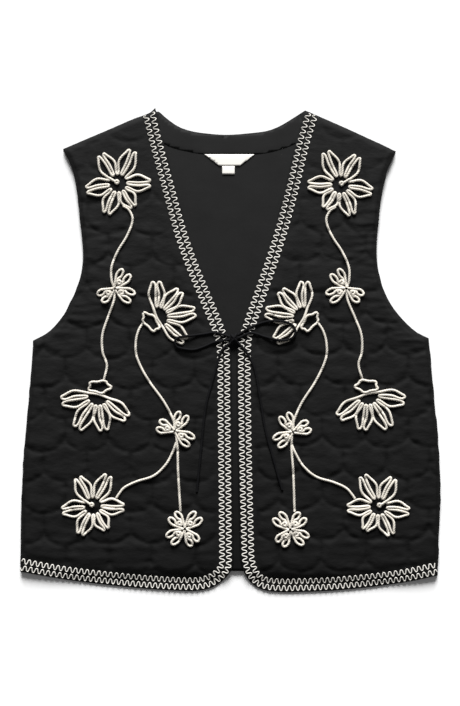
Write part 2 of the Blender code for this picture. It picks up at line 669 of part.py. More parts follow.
def build_flowers(look):
    """The couched cord of every flower and stem, one piece each."""
    half = CORD_WIDTH / 2
    profile = [(-half, 0.0), (half, 0.0), (0.0, CORD_HEIGHT)]
    for name, (kind, centre, turn) in FLOWERS.items():
        for side in ("left", "right"):
            route, closed = flower_route(kind, centre, turn, side == "right")
            if side == "right":
                route = [p + Vector(MIRROR_SHIFT[name]) for p in route]
            laid_strip(f"{name}_{side}", route, profile, look, closed)
    for name, (start, end, keys) in STEMS.items():
        line = smooth(keys, 11.0)
        laid_strip(f"{name}_left", line, profile, look)
        shifts = [Vector(MIRROR_SHIFT[flower]) for flower in (start, end)]
        mirrored = []
        for i, point in enumerate(line):
            share = i / (len(line) - 1)
            mirrored.append(Vector((-point.x, point.y)) + shifts[0].lerp(shifts[1], share))
        laid_strip(f"{name}_right", mirrored, profile, look)


def knot_side(degrees):
    """Where a tie leaves the knot at this angle."""
    way = from_angle(degrees, 1.0)
    reach = 1 / math.hypot(way.x / KNOT_RADII[0], way.y / KNOT_RADII[1])
    return Vector(KNOT_AT) + way * (reach + SEAM_GAP + KNOT_HOLLOW)


def build_ties(look):
    """Two loops and two tails of the bow, laid over everything below them."""
    radius = TIE_DIAMETER / 2
    for name, (leaves, keys, returns) in TIE_ROUTES.items():
        ends = [] if returns is None else [knot_side(returns)]
        line = smooth([knot_side(leaves), *keys, *ends], TIE_STEP)
        curve = bpy.data.curves.new(name, "CURVE")
        curve.dimensions = "3D"
        curve.bevel_depth = radius * MM
        curve.bevel_resolution = 2
        curve.use_fill_caps = True
        spline = curve.splines.new("POLY")
        spline.points.add(len(line) - 1)
        heights = resting_heights(line, radius + SEAM_GAP, 0.7)
        for slot, point, below in zip(spline.points, line, heights, strict=True):
            height = below + SEAM_GAP + radius
            slot.co = (point.x * MM, point.y * MM, height * MM, 1.0)
        add_object(name, curve, look)


def build_knot(look):
    """The bow's knot, as low as what is under it lets it lie."""
    wide, deep, tall = KNOT_RADII
    middle = 0.0
    for i in range(-6, 7):
        for j in range(-6, 7):
            rest = 1 - (i / 6) ** 2 - (j / 6) ** 2
            if rest >= 0:
                below = top_of(KNOT_AT[0] + wide * i / 6, KNOT_AT[1] + deep * j / 6)
                middle = max(middle, below + SEAM_GAP + tall * math.sqrt(rest))
    bm = bmesh.new()
    bmesh.ops.create_uvsphere(bm, u_segments=16, v_segments=8, radius=1.0)
    bmesh.ops.scale(bm, vec=KNOT_RADII, verts=bm.verts)
    bmesh.ops.translate(bm, vec=(*KNOT_AT, middle), verts=bm.verts)
    add_solid("bow_knot", bm, look)


def main():
    for obj in list(bpy.data.objects):
        bpy.data.objects.remove(obj, do_unlink=True)
    cotton = material("black_quilted_cotton", (0.017, 0.017, 0.018), 0.85)
    lining = material("black_lining_cloth", (0.021, 0.021, 0.022), 0.75)
    cord = material("cream_cotton_cord", (0.80, 0.76, 0.66), 0.80)
    label = material("white_label_tape", (0.92, 0.90, 0.86), 0.70)
    tie = material("black_rouleau", (0.012, 0.012, 0.013), 0.70)
    build_back(cotton)
    build_lining(lining, cotton)
    build_label(label)
    fronts = [Front(side) for side in ("left", "right")]
    for front in fronts:
        front.build(cotton)
    for front in fronts:
        build_trim(front.side, cord)
    build_flowers(cord)
    build_ties(tie)
    build_knot(tie)


main()
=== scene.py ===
# %% [markdown]
# # A quilted waistcoat with couched cord flowers, laid flat
#
# The real garment is a sleeveless jacket of black cotton, quilted to a thin wadding in an onion
# pattern. A cream cord is couched on it, which means that it is laid on the cloth and held by tiny
# stitches, and two rows of a thinner, wavy cord run along the closing edges and the hem. The fronts
# meet edge to edge and a narrow tube of folded cloth ties them in a bow.
#
# Everything is worked out in millimetres and scaled to metres when a piece is finished, because a
# garment's own sizes (a 26 mm quilting pitch, a 3.3 mm cord) are easier to read that way.

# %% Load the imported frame
import json
import math

import bmesh
import bpy
import numpy as np
from mathutils import Matrix, Vector, noise
from mathutils.bvhtree import BVHTree
from mathutils.geometry import interpolate_bezier
from mathutils.kdtree import KDTree

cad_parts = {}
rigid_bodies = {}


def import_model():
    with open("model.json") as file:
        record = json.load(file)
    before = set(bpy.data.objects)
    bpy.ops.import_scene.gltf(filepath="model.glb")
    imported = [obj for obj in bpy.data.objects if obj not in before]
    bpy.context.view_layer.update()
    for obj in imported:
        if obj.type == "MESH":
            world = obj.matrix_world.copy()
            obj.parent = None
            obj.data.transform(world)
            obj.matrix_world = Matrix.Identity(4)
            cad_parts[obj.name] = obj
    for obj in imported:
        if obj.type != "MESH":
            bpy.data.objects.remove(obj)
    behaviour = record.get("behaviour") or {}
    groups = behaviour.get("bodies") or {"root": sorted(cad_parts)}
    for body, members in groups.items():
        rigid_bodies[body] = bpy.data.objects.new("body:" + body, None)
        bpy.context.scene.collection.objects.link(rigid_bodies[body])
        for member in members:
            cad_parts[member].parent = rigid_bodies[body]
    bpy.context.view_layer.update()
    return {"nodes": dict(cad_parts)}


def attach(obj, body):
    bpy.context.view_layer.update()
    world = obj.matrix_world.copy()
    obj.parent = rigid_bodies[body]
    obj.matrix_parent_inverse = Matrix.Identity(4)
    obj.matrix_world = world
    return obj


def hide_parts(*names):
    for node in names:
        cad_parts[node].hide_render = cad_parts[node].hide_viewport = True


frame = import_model()
MM = 0.001
print(len(frame["nodes"]), "nodes in the frame")

# %% [markdown]
# ## Camera, light and floor
#
# The garment lies on a white table and is seen from straight above, so the camera looks down the
# Z axis. A long lens two metres away keeps the upright edges of the thin garment out of sight, as
# a copy stand does. One broad light stands beyond the neck: it rakes across the cloth, so every
# puff is bright on its upper side and every stitched line is dark. Painted shade in the cloth's
# colour darkens the stitched lines further. A little light from all round keeps the shaded side of
# the puffs from going black.


# %% Camera above the garment
def add_camera(centre_y, frame_height, lens):
    """A camera that looks straight down and sees frame_height metres from bottom to top."""
    data = bpy.data.cameras.new("camera")
    data.lens = lens
    data.sensor_width = 36.0
    data.clip_end = 10.0
    camera = bpy.data.objects.new("camera", data)
    camera.location = (0.0, centre_y, lens / 36.0 * frame_height)
    bpy.context.scene.collection.objects.link(camera)
    bpy.context.scene.camera = camera
    return camera


camera = add_camera(centre_y=-0.0034, frame_height=0.8613, lens=90.0)
print("camera is", round(camera.location.z, 3), "m above the table")


# %% A broad light beyond the neck
def add_sun(name, elevation, width, strength):
    """A soft, even light from beyond the neck, this many degrees above the table and across."""
    data = bpy.data.lights.new(name, "SUN")
    data.energy = strength
    data.angle = math.radians(width)
    light = bpy.data.objects.new(name, data)
    light.rotation_euler = (math.radians(elevation - 90.0), 0.0, 0.0)
    bpy.context.scene.collection.objects.link(light)


SUN_ELEVATION = 26.0
add_sun("key_light", elevation=SUN_ELEVATION, width=30.0, strength=7.8)
print("the key light stands", SUN_ELEVATION, "degrees above the table")


# %% Materials: helpers
def linear(hexcode):
    """A colour in sRGB hex, as Blender's linear numbers."""
    parts = [int(hexcode[i : i + 2], 16) / 255 for i in (1, 3, 5)]
    return [p / 12.92 if p <= 0.04045 else ((p + 0.055) / 1.055) ** 2.4 for p in parts]


def add_node(tree, kind, settings=None, inputs=None, links=None):
    """Adds one node, sets its properties and sockets, and links sockets to other nodes' outputs."""
    node = tree.nodes.new(kind)
    for key_name, value in (settings or {}).items():
        setattr(node, key_name, value)
    for socket, value in (inputs or {}).items():
        node.inputs[socket].default_value = value
    for socket, source in (links or {}).items():
        tree.links.new(source, node.inputs[socket])
    return node


def new_material(name, **sockets):
    """A Principled material with these sockets set, and its tree and shader."""
    made = bpy.data.materials.new(name)
    made.use_nodes = True
    shader = made.node_tree.nodes["Principled BSDF"]
    for socket, value in sockets.items():
        shader.inputs[socket.replace("_", " ")].default_value = value
    return made, made.node_tree, shader


# %% White table and the light from all round
def set_world(strength):
    """An even white surround."""
    world = bpy.data.worlds.new("surround")
    bpy.context.scene.world = world
    world.use_nodes = True
    background = world.node_tree.nodes["Background"]
    background.inputs["Color"].default_value = (1.0, 1.0, 1.0, 1.0)
    background.inputs["Strength"].default_value = strength


def add_table(size):
    """A plain white table just under the garment."""
    bm = bmesh.new()
    bmesh.ops.create_grid(bm, x_segments=1, y_segments=1, size=size / 2)
    bmesh.ops.translate(bm, vec=(0, 0, -0.0003), verts=bm.verts)
    mesh = bpy.data.meshes.new("table")
    bm.to_mesh(mesh)
    bm.free()
    table = bpy.data.objects.new("table", mesh)
    bpy.context.scene.collection.objects.link(table)
    white, _, shader = new_material("white_painted_board", Roughness=0.9)
    shader.inputs["Base Color"].default_value = (0.9, 0.9, 0.9, 1.0)
    mesh.materials.append(white)


set_world(0.16)
add_table(8.0)
bpy.context.scene.view_settings.view_transform = "Standard"
bpy.context.scene.view_settings.look = "None"
print("table and surround are in")

# %% [markdown]
# ## The cut of the garment
#
# A pattern cutter draws each front as a few edges: the closing edge that runs from the neck down
# the V to the hem, the hem, the side seam, the armhole and the shoulder. Each is a smooth curve
# through a handful of points, so the curve is drawn here in the same way, with the tangent at each
# point taken from its neighbours.

# %% Edges of the two fronts, in millimetres
FRONT_EDGES = {
    "left": {
        "closing": [
            (-91.0, 295.0), (-81.0, 253.8), (-67.5, 203.9), (-52.5, 149.4), (-39.4, 110.9),
            (-23.6, 72.2), (-6.8, 31.5), (0.2, 8.0), (1.8, -64.7), (3.7, -250.0), (3.1, -263.5),
            (-1.2, -272.5), (-9.8, -281.8), (-20.7, -288.8), (-34.0, -292.8),
        ],
        "hem": [(-34.0, -292.8), (-48.8, -293.8), (-97.6, -291.2), (-158.6, -285.1), (-207.4, -278.6),
                (-255.4, -269.6)],
        "side": [(-255.4, -269.6), (-254.8, -250.7), (-254.3, -195.8), (-250.6, -122.6), (-244.0, -49.4),
                 (-239.4, 11.6)],
        "armhole": [
            (-239.4, 11.6), (-219.0, 23.8), (-199.1, 48.2), (-187.3, 72.6), (-180.1, 97.0),
            (-179.2, 121.4), (-182.6, 158.0), (-186.6, 194.6), (-191.6, 219.0), (-203.5, 244.9),
        ],
        "shoulder": [(-203.5, 244.9), (-147.6, 268.6), (-118.0, 281.4), (-98.0, 288.9), (-91.0, 295.0)],
    },
    "right": {
        "closing": [
            (91.5, 292.0), (80.1, 253.4), (68.4, 203.7), (54.1, 149.3), (42.0, 110.6), (28.5, 71.7),
            (14.4, 31.2), (9.2, 10.0), (8.6, -64.7), (12.6, -250.0), (14.0, -259.5), (16.8, -269.6),
            (21.2, -278.2), (27.8, -285.6), (36.5, -291.0), (48.0, -294.0),
        ],
        "hem": [(48.0, -294.0), (61.0, -294.9), (75.6, -295.0), (134.2, -292.4), (207.4, -283.9),
                (252.8, -274.4)],
        "side": [(252.8, -274.4), (253.6, -240.0), (255.7, -195.8), (255.9, -159.0), (254.1, -122.6),
                 (247.7, -49.4), (241.9, 14.6)],
        "armhole": [
            (241.9, 14.6), (224.6, 23.8), (201.2, 48.2), (187.4, 72.6), (180.6, 97.0), (178.6, 121.4),
            (180.9, 158.0), (185.8, 194.6), (191.6, 219.0), (201.9, 242.0),
        ],
        "shoulder": [(201.9, 242.0), (146.2, 268.0), (91.5, 292.0)],
    },
}
STRETCHES = ("closing", "hem", "side", "armhole", "shoulder")
BACK_NECK = [
    (91.5, 292.0), (76.2, 282.2), (61.6, 273.4), (47.0, 267.5), (32.3, 265.1), (-4.3, 262.3),
    (-33.6, 264.5), (-48.2, 267.1), (-62.8, 272.3), (-77.5, 282.6), (-91.0, 295.0),
]
BACK_HEM = [(-254.4, -268.6), (5.0, -268.8), (251.8, -273.4)]
FACING_SEAM = [(97.0, 262.0), (75.6, 250.1), (52.0, 242.2), (30.5, 238.9), (0.0, 238.2), (-31.7, 238.9),
               (-54.9, 242.8), (-78.1, 250.1), (-99.0, 264.0)]


# %% Smooth lines through points
def spaced(points, step):
    """The same line again, with points about step apart."""
    line = np.array(points, float)
    along = np.concatenate([[0.0], np.cumsum(np.linalg.norm(np.diff(line, axis=0), axis=1))])
    at = np.linspace(0.0, along[-1], max(2, round(along[-1] / step) + 1))
    return [Vector([np.interp(a, along, line[:, k]) for k in range(line.shape[1])]) for a in at]


def smooth(keys, step, closed=False):
    """Points about step apart on a smooth curve through the keys."""
    keys = [Vector(k) for k in keys]
    count = len(keys)
    tangents = []
    for i in range(count):
        before = keys[i - 1] if closed or i else keys[0]
        after = keys[(i + 1) % count] if closed or i < count - 1 else keys[-1]
        tangents.append((after - before).normalized())
    fine = []
    for i in range(count if closed else count - 1):
        a, b = keys[i], keys[(i + 1) % count]
        reach = (b - a).length / 3
        leaving, arriving = a + tangents[i] * reach, b - tangents[(i + 1) % count] * reach
        fine += interpolate_bezier(a, leaving, arriving, b, 24)[:-1]
    return spaced([*fine, keys[0] if closed else keys[-1]], step)


def beside(line, by):
    """An open line moved sideways, to its left for a positive distance."""
    moved = []
    for i, point in enumerate(line):
        along = (line[min(i + 1, len(line) - 1)] - line[max(i - 1, 0)]).normalized()
        moved.append(point + Vector((-along.y, along.x)) * by)
    return moved


def nearest_tree(points):
    """A tree that finds the nearest of these flat points."""
    tree = KDTree(len(points))
    for i, point in enumerate(points):
        tree.insert((point.x, point.y, 0.0), i)
    tree.balance()
    return tree


def gap_to(tree, x, y):
    """How far x, y is from the nearest point of a tree."""
    return tree.find((x, y, 0.0))[2]


def ramp(value, low, high):
    """0 below low, 1 above high, and an even slope between."""
    return min(1.0, max(0.0, (value - low) / (high - low)))


print("left closing edge is", len(smooth(FRONT_EDGES["left"]["closing"], 5.0)), "steps of 5 mm long")

# %% [markdown]
# ## The onion quilting
#
# The machine stitches one line at a time, each running down the cloth. A line goes straight for
# 19 mm, then swings across by 26 mm in a quarter-round bow, goes straight again, and swings back.
# Neighbouring lines are mirror images, so between them they close off onion shapes, each with a
# sharp tip at the top. Only the stitched lines need to be known: how high the wadding puffs at any
# point depends on how far that point is from the nearest stitch.

# %% Stitched lines
QUILT_PITCH = 26.2
QUILT_BOW = 18.3
QUILT_NECK = 19.3
QUILT_HALF_PERIOD = QUILT_BOW + QUILT_NECK
QUILT_TIP = {"left": (-121.5, -142.3), "right": (138.0, -137.9)}


def quilt_line(tip_x, tip_y, column, low, high):
    """One stitched line, which swings between the axes of two neighbouring columns of onions."""
    points = []
    axis = tip_x + column * QUILT_PITCH
    first = math.floor((low - tip_y) / (2 * QUILT_HALF_PERIOD)) - 1
    last = math.ceil((high - tip_y) / (2 * QUILT_HALF_PERIOD)) + 1
    quarter = [math.pi / 2 * i / 12 for i in range(13)]
    for turn in range(last, first, -1):
        y = tip_y + 2 * QUILT_HALF_PERIOD * turn - (column % 2) * QUILT_HALF_PERIOD
        out = [(axis + QUILT_PITCH * (1 - math.cos(t)), y - QUILT_BOW * math.sin(t)) for t in quarter]
        back_y = y - QUILT_HALF_PERIOD
        back = [(axis + QUILT_PITCH * math.cos(t), back_y - QUILT_BOW * math.sin(t)) for t in quarter]
        points += out + back
    return [Vector(p) for p in points if low <= p[1] <= high]


def stretched_noise(x, y, across, down, seed):
    """Smooth noise from -1 to 1 whose bumps are this wide and this tall."""
    return noise.noise((x / across + seed, y / down - seed, seed * 1.7))


def stitches_of(side):
    """A point every millimetre along all the stitched lines of a front."""
    tip_x, tip_y = QUILT_TIP[side]
    lines = [quilt_line(tip_x, tip_y, column, -300.0, 300.0) for column in range(-8, 9)]
    places = [p for line in lines for p in spaced(line, 1.0)]
    across = [2.4 * stretched_noise(p.x, p.y, 55.0, 55.0, 12.7) for p in places]
    down = [3.2 * stretched_noise(p.x, p.y, 60.0, 60.0, 15.1) for p in places]
    return [p + Vector(drift) for p, drift in zip(places, zip(across, down, strict=True), strict=True)]


print(len(stitches_of("left")), "stitch points on the left front")

# %% [markdown]
# ## Cloth panels as solids
#
# A panel could be a plane with a displacement, but a garment lying flat is a stack of real layers:
# back, lining, fronts. So each panel is a closed wall. The outline becomes one face, a few narrow
# insets give the turned edge its round, and planes cut the rest into small squares. The squares are
# extruded into a wall whose two sides are then set to the heights of the cloth.

# %% Layer heights and the fall of the fronts past the back's hem
BACK_WALL = 3.0
LINING_LOW = 3.3
FRONT_LOW = 4.6
FRONT_WALL = 2.6
SEAM_FALL_WIDTH = 6.0
HEM_LIFT_OFF, HEM_CLEAR, HEM_LANDING = 4.0, 2.5, 11.0
HEM_CLEAR_HEIGHT = 3.45
QUILT_RISE = 2.0
FLAT_TRIM_BAND = 17.0
TOPSTITCH = 4.2
PUFF_REACH, PUFF_FADE = 10.0, 8.0
EDGE_ROUND, EDGE_WALL = 2.4, 0.7


def back_hem_y(x):
    """Where the back's hem is at x."""
    return float(np.interp(x, [p[0] for p in BACK_HEM], [p[1] for p in BACK_HEM]))


class FrontHeights:
    """How high the underside and the upper side of a front are, anywhere on it."""

    def __init__(self, side):
        lines = {stretch: smooth(FRONT_EDGES[side][stretch], 1.0) for stretch in STRETCHES}
        trimmed = lines["closing"] + lines["hem"]
        seamed = lines["side"] + lines["armhole"] + lines["shoulder"]
        self.edge = nearest_tree(trimmed + seamed)
        self.trimmed = nearest_tree(trimmed)
        self.seamed = nearest_tree(seamed)
        self.armhole = nearest_tree(lines["armhole"])
        self.topstitched = nearest_tree(lines["armhole"] + lines["side"])
        self.stitched = nearest_tree(stitches_of(side))

    def low(self, x, y):
        """The underside: on the lining, down to the back at the seams, and to the table past its hem."""
        from_seam = ramp(gap_to(self.seamed, x, y), 0.0, SEAM_FALL_WIDTH)
        start = LINING_LOW + (FRONT_LOW - LINING_LOW) * from_seam
        past = back_hem_y(x) - y
        if past <= -HEM_LIFT_OFF:
            return start
        if past <= HEM_CLEAR:
            return start + (HEM_CLEAR_HEIGHT - start) * ramp(past, -HEM_LIFT_OFF, HEM_CLEAR)
        return HEM_CLEAR_HEIGHT * (1 - ramp(past, HEM_CLEAR, HEM_LANDING))

    def puff(self, x, y):
        """How much the wadding lifts the cloth between the stitches."""
        from_stitch = gap_to(self.stitched, x, y)
        fullness = 0.85 + 0.45 * stretched_noise(x, y, 30.0, 30.0, 9.1)
        crown = fullness * (1 - (1 - min(from_stitch / PUFF_REACH, 1.0)) ** 3.0)
        fade = ramp(gap_to(self.trimmed, x, y), FLAT_TRIM_BAND, FLAT_TRIM_BAND + PUFF_FADE)
        seam = ramp(gap_to(self.seamed, x, y), 0.5, 6.0)
        pulled_flat = 1.0 - 0.45 * ramp(y, 90.0, 240.0)
        return QUILT_RISE * crown * fade * seam * pulled_flat

    def wrinkles(self, x, y):
        """Puckers beside the seams and the stitches, and the slack cloth between them."""
        from_arm = gap_to(self.armhole, x, y)
        from_trim = gap_to(self.trimmed, x, y)
        from_stitch = gap_to(self.stitched, x, y)
        pucker = 1.25 * stretched_noise(x, y, 30.0, 5.5, 3.1) * ramp(50.0 - from_arm, 0.0, 30.0)
        pulled = 1.1 * stretched_noise(x, y, 9.0, 6.0, 6.2) * ramp(10.0 - from_stitch, 0.0, 8.0)
        slack = 0.75 * stretched_noise(x, y, 20.0, 11.0, 7.7)
        folds = 0.9 * stretched_noise(x, y, 70.0, 9.0, 1.9) * ramp(-150.0 - y, 0.0, 90.0)
        calm = ramp(from_trim, 14.0, 24.0) * ramp(gap_to(self.edge, x, y), 0.0, 4.0)
        smoother = 1.0 - 0.6 * ramp(y, 150.0, 230.0)
        return (pucker + pulled + slack + folds) * calm * smoother

    def painted_stitch_shade(self, x, y):
        """The mask of painted shade at the stitches: 1 on a stitched line, 0 away from one and less where
        the cloth is pulled flat.
        """
        shown = ramp(gap_to(self.trimmed, x, y), FLAT_TRIM_BAND, FLAT_TRIM_BAND + PUFF_FADE)
        fainter = 1.0 - 0.8 * ramp(y, 120.0, 220.0)
        quilted = shown * fainter * ramp(2.4 - gap_to(self.stitched, x, y), 0.0, 2.0)
        return max(quilted, self.groove(x, y))

    def groove(self, x, y):
        """1 on the line of stitches beside the armhole and the side seam, and 0 away from it."""
        from_line = abs(gap_to(self.topstitched, x, y) - TOPSTITCH)
        return ramp(1.5 - from_line, 0.0, 1.1) * ramp(gap_to(self.trimmed, x, y), 16.0, 20.0)

    def wall(self, x, y):
        """The thickness of the cloth, rounded at its turned edge."""
        from_edge = gap_to(self.edge, x, y)
        rounded = math.sqrt(1 - (1 - min(from_edge / EDGE_ROUND, 1.0)) ** 2)
        plain = EDGE_WALL + (FRONT_WALL - EDGE_WALL) * rounded
        cloth = plain + self.puff(x, y) + self.wrinkles(x, y)
        return cloth - 0.5 * self.groove(x, y)


heights = {side: FrontHeights(side) for side in ("left", "right")}
print("cloth is", round(heights["left"].wall(-121.5, -170.0), 2), "mm thick in the middle of an onion")


# %% Cutting an outline into small squares
def panel_face(bm, outline, inset, rings):
    """A flat face this far inside an outline, with narrow rings for its rounded edge."""
    face = bm.faces.new([bm.verts.new((p.x, p.y, 0.0)) for p in outline])
    bm.normal_update()
    if face.normal.z < 0:
        face.normal_flip()
    if inset:
        rim = bmesh.ops.inset_region(bm, faces=[face], thickness=inset, use_even_offset=True)["faces"]
        bmesh.ops.delete(bm, geom=rim, context="FACES")
    for ring in rings:
        bmesh.ops.inset_region(bm, faces=[face], thickness=ring, use_even_offset=True)
    return face


def slice_faces(bm, faces, axis, places):
    """Cuts the faces at each place along an axis, and returns the pieces."""
    normal = Vector((1, 0, 0)) if axis == 0 else Vector((0, 1, 0))
    waiting, done = list(faces), []
    for place in places:
        geom = {*waiting, *(e for f in waiting for e in f.edges), *(v for f in waiting for v in f.verts)}
        cut = bmesh.ops.bisect_plane(bm, geom=list(geom), plane_co=normal * place, plane_no=normal,
                                     dist=1e-4)
        pieces = [g for g in cut["geom"] if isinstance(g, bmesh.types.BMFace)]
        waiting = []
        for piece in pieces:
            (waiting if piece.calc_center_median()[axis] > place else done).append(piece)
    return done + waiting


def cut_squares(bm, face, pitch):
    """Cuts one face into squares of this pitch."""
    xs = [v.co.x for v in face.verts]
    ys = [v.co.y for v in face.verts]
    strips = slice_faces(bm, [face], 0, np.arange(min(xs) + pitch * 0.63, max(xs) - 0.2 * pitch, pitch))
    return slice_faces(bm, strips, 1, np.arange(min(ys) + pitch * 0.63, max(ys) - 0.2 * pitch, pitch))


def closed_wall(bm, low, wall):
    """Extrudes all the faces into a wall between low(x, y) and low + wall."""
    under = list(bm.verts)
    grown = bmesh.ops.extrude_face_region(bm, geom=list(bm.faces), use_keep_orig=True)
    over = [g for g in grown["geom"] if isinstance(g, bmesh.types.BMVert)]
    for vert in under:
        vert.co.z = low(vert.co.x, vert.co.y)
    for vert in over:
        vert.co.z = low(vert.co.x, vert.co.y) + wall(vert.co.x, vert.co.y)
    bmesh.ops.recalc_face_normals(bm, faces=bm.faces)


def add_piece(name, data, look, slot, *nodes):
    """Adds a piece that rides on the garment and replaces its nodes."""
    data.materials.clear()
    data.materials.append(look)
    piece = bpy.data.objects.new(name, data)
    bpy.context.scene.collection.objects.link(piece)
    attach(piece, "root")
    if nodes:
        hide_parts(*nodes)
    return piece


def finish_piece(name, bm, look, slot, *nodes):
    """Turns a bmesh in millimetres into a smooth piece."""
    bmesh.ops.scale(bm, vec=(MM, MM, MM), verts=bm.verts)
    mesh = bpy.data.meshes.new(name)
    bm.to_mesh(mesh)
    bm.free()
    mesh.shade_smooth()
    return add_piece(name, mesh, look, slot, *nodes)


# %% [markdown]
# ## Black cotton
#
# The outer cloth is a plain-woven cotton, dyed black and not glazed. It reads as a soft charcoal,
# because the fibres' fuzz scatters a little light at a slant. Its threads are about 0.35 mm apart,
# finer than the picture can show, so the weave is drawn at 1 mm, where it just breaks up the
# highlights. A slow random variation stands for the uneven dye and the dust that black cotton
# collects. The colour is also paler towards the shoulders and darker towards the hem. This is
# painted light for the sheen that the light beyond the neck puts on the upper cloth, and painted
# shade on the lining, which lies deep between the fronts.


# %% Material: matt black cotton
# How far the painted shade along the stitched lines darkens the cloth towards black
STITCH_PAINTED_SHADE = 0.38


def cotton_material(name, shaded_hem_colour, lit_neck_colour, weave_mm, roughness, crease):
    """Plain-woven cotton: crossing threads and small creases in the bump, and painted light that makes it
    paler towards the shoulders.

    It has painted shade along the stitches, for the shade where the cloth is pulled down into the
    wadding.
    """
    look, tree, shader = new_material(name, Roughness=roughness)
    shader.inputs["Specular IOR Level"].default_value = 0.12
    place = add_node(tree, "ShaderNodeTexCoord").outputs["Object"]
    height = add_node(tree, "ShaderNodeSeparateXYZ", links={"Vector": place}).outputs["Y"]
    # Painted light and shade: the colour runs along Y from the darker hem colour to the paler neck
    # colour. The noise adds real unevenness of dye.
    up = add_node(tree, "ShaderNodeMapRange", inputs={"From Min": -0.30, "From Max": 0.30},
                  links={"Value": height})
    uneven = add_node(tree, "ShaderNodeTexNoise", inputs={"Scale": 28.0, "Detail": 5.0},
                      links={"Vector": place})
    share = add_node(tree, "ShaderNodeMath", {"operation": "MULTIPLY_ADD"}, {1: 0.5, 2: -0.25},
                     {0: uneven.outputs["Fac"]})
    shade = add_node(tree, "ShaderNodeMath", {"operation": "ADD", "use_clamp": True},
                     links={0: share.outputs[0], 1: up.outputs["Result"]})
    ends = {"Color1": (*linear(shaded_hem_colour), 1), "Color2": (*linear(lit_neck_colour), 1)}
    tone_and_painted_light = add_node(tree, "ShaderNodeMixRGB", inputs=ends, links={"Fac": shade.outputs[0]})
    # Painted shade: the colour is darkened towards black along the stitched lines and the topstitching,
    # for the shade in their creases
    stitches = add_node(tree, "ShaderNodeAttribute", {"attribute_name": "stitched"}).outputs["Fac"]
    depth = add_node(tree, "ShaderNodeMath", {"operation": "MULTIPLY"}, {1: STITCH_PAINTED_SHADE}, {0: stitches})
    shaded = add_node(tree, "ShaderNodeMixRGB", inputs={"Color2": (0.0, 0.0, 0.0, 1.0)},
                      links={"Fac": depth.outputs[0], "Color1": tone_and_painted_light.outputs["Color"]})
    tree.links.new(shaded.outputs["Color"], shader.inputs["Base Color"])
    scale = 2 * math.pi / (weave_mm * MM) / 20
    threads = {"Scale": scale, "Distortion": 0.6}
    warp = add_node(tree, "ShaderNodeTexWave", {"bands_direction": "X"}, threads, {"Vector": place})
    weft = add_node(tree, "ShaderNodeTexWave", {"bands_direction": "Y"}, threads, {"Vector": place})
    weave = add_node(tree, "ShaderNodeMath", {"operation": "MULTIPLY"},
                     links={0: warp.outputs["Fac"], 1: weft.outputs["Fac"]})
    stretched = add_node(tree, "ShaderNodeMapping", inputs={"Scale": (1.0, 1.7, 1.0)},
                         links={"Vector": place})
    creases = add_node(tree, "ShaderNodeTexNoise",
                       inputs={"Scale": 75.0, "Detail": 3.0, "Roughness": 0.5},
                       links={"Vector": stretched.outputs["Vector"]})
    folds = add_node(tree, "ShaderNodeBump", inputs={"Strength": 1.0, "Distance": crease * MM},
                     links={"Height": creases.outputs["Fac"]})
    relief = add_node(tree, "ShaderNodeBump", inputs={"Strength": 0.3, "Distance": 0.0002},
                      links={"Height": weave.outputs[0], "Normal": folds.outputs["Normal"]})
    tree.links.new(relief.outputs["Normal"], shader.inputs["Normal"])
    return look


# Each material's two colours run from hem to neck. On the outer cotton this is painted light, paler
# towards the shoulders. On the lining it is painted shade, darker low down between the fronts.
cotton = cotton_material("black_plain_cotton", "#0d0d0d", "#1a1a1a", 1.0, 0.8, 0.9)
lining_cloth = cotton_material("black_lining_cotton", "#080808", "#212121", 0.7, 0.8, 0.15)
print("cloth materials:", cotton.name, lining_cloth.name)

# %% [markdown]
# ## The two quilted fronts
#
# The squares are 2 mm across: small enough for the puckers beside the armholes, which are about a
# centimetre apart, and for the crease at each stitched line. A narrow ring inside the edge carries
# the line of stitches that follows the armhole and the side seam.


# %% Build the fronts
def front_outline(side, step):
    """The outline of a front, its stretches one after the other, drawn in a little by the quilting."""
    outline = [p for stretch in STRETCHES for p in smooth(FRONT_EDGES[side][stretch], step)[:-1]]
    uneven = [1.6 * stretched_noise(p.x, p.y, 40.0, 15.0, 5.3) for p in outline]
    outer = [ramp(abs(p.x), 150.0, 200.0) for p in outline]
    return [p + Vector((u * o, 0.0)) for p, u, o in zip(outline, uneven, outer, strict=True)]


def declare_sheet(piece, outline, *below):
    """Sums the cross products of an outline's neighbouring points and keeps nothing; the piece and what
    lies below it are not used.
    """
    crossed = sum(a.cross(b) for a, b in zip(outline, outline[1:] + outline[:1], strict=True))


surfaces = []


def build_front(side):
    """One quilted front, as a closed wall."""
    outline = front_outline(side, 4.0)
    bm = bmesh.new()
    face = panel_face(bm, outline, 0.0, (0.8, 1.6, TOPSTITCH - EDGE_ROUND, 1.0))
    cut_squares(bm, face, 2.0)
    closed_wall(bm, heights[side].low, heights[side].wall)
    bmesh.ops.triangulate(bm, faces=[f for f in bm.faces if len(f.verts) > 4])
    surfaces.append(BVHTree.FromBMesh(bm))
    count = len(bm.faces)
    # Each vertex carries how much painted shade its stitches get
    stitched = bm.verts.layers.float.new("stitched")
    for vert in bm.verts:
        vert[stitched] = heights[side].painted_stitch_shade(vert.co.x, vert.co.y)
    piece = finish_piece(f"quilted_front_{side}", bm, cotton, "quilted_cotton", f"front_{side}")
    declare_sheet(piece, outline, "back_lining", "back_panel")
    print(piece.name, "has", count, "faces")


for side in ("left", "right"):
    build_front(side)

# %% [markdown]
# ## The back, its lining and the neck facing
#
# Behind the fronts lies the back panel, and on it the smooth lining that shows in the V. A curved
# facing finishes the neck: it is sewn to the neck edge, turned to the inside and pressed, so its
# edge has a soft roll, and its lower edge is stitched down to the lining along a shallow curve.


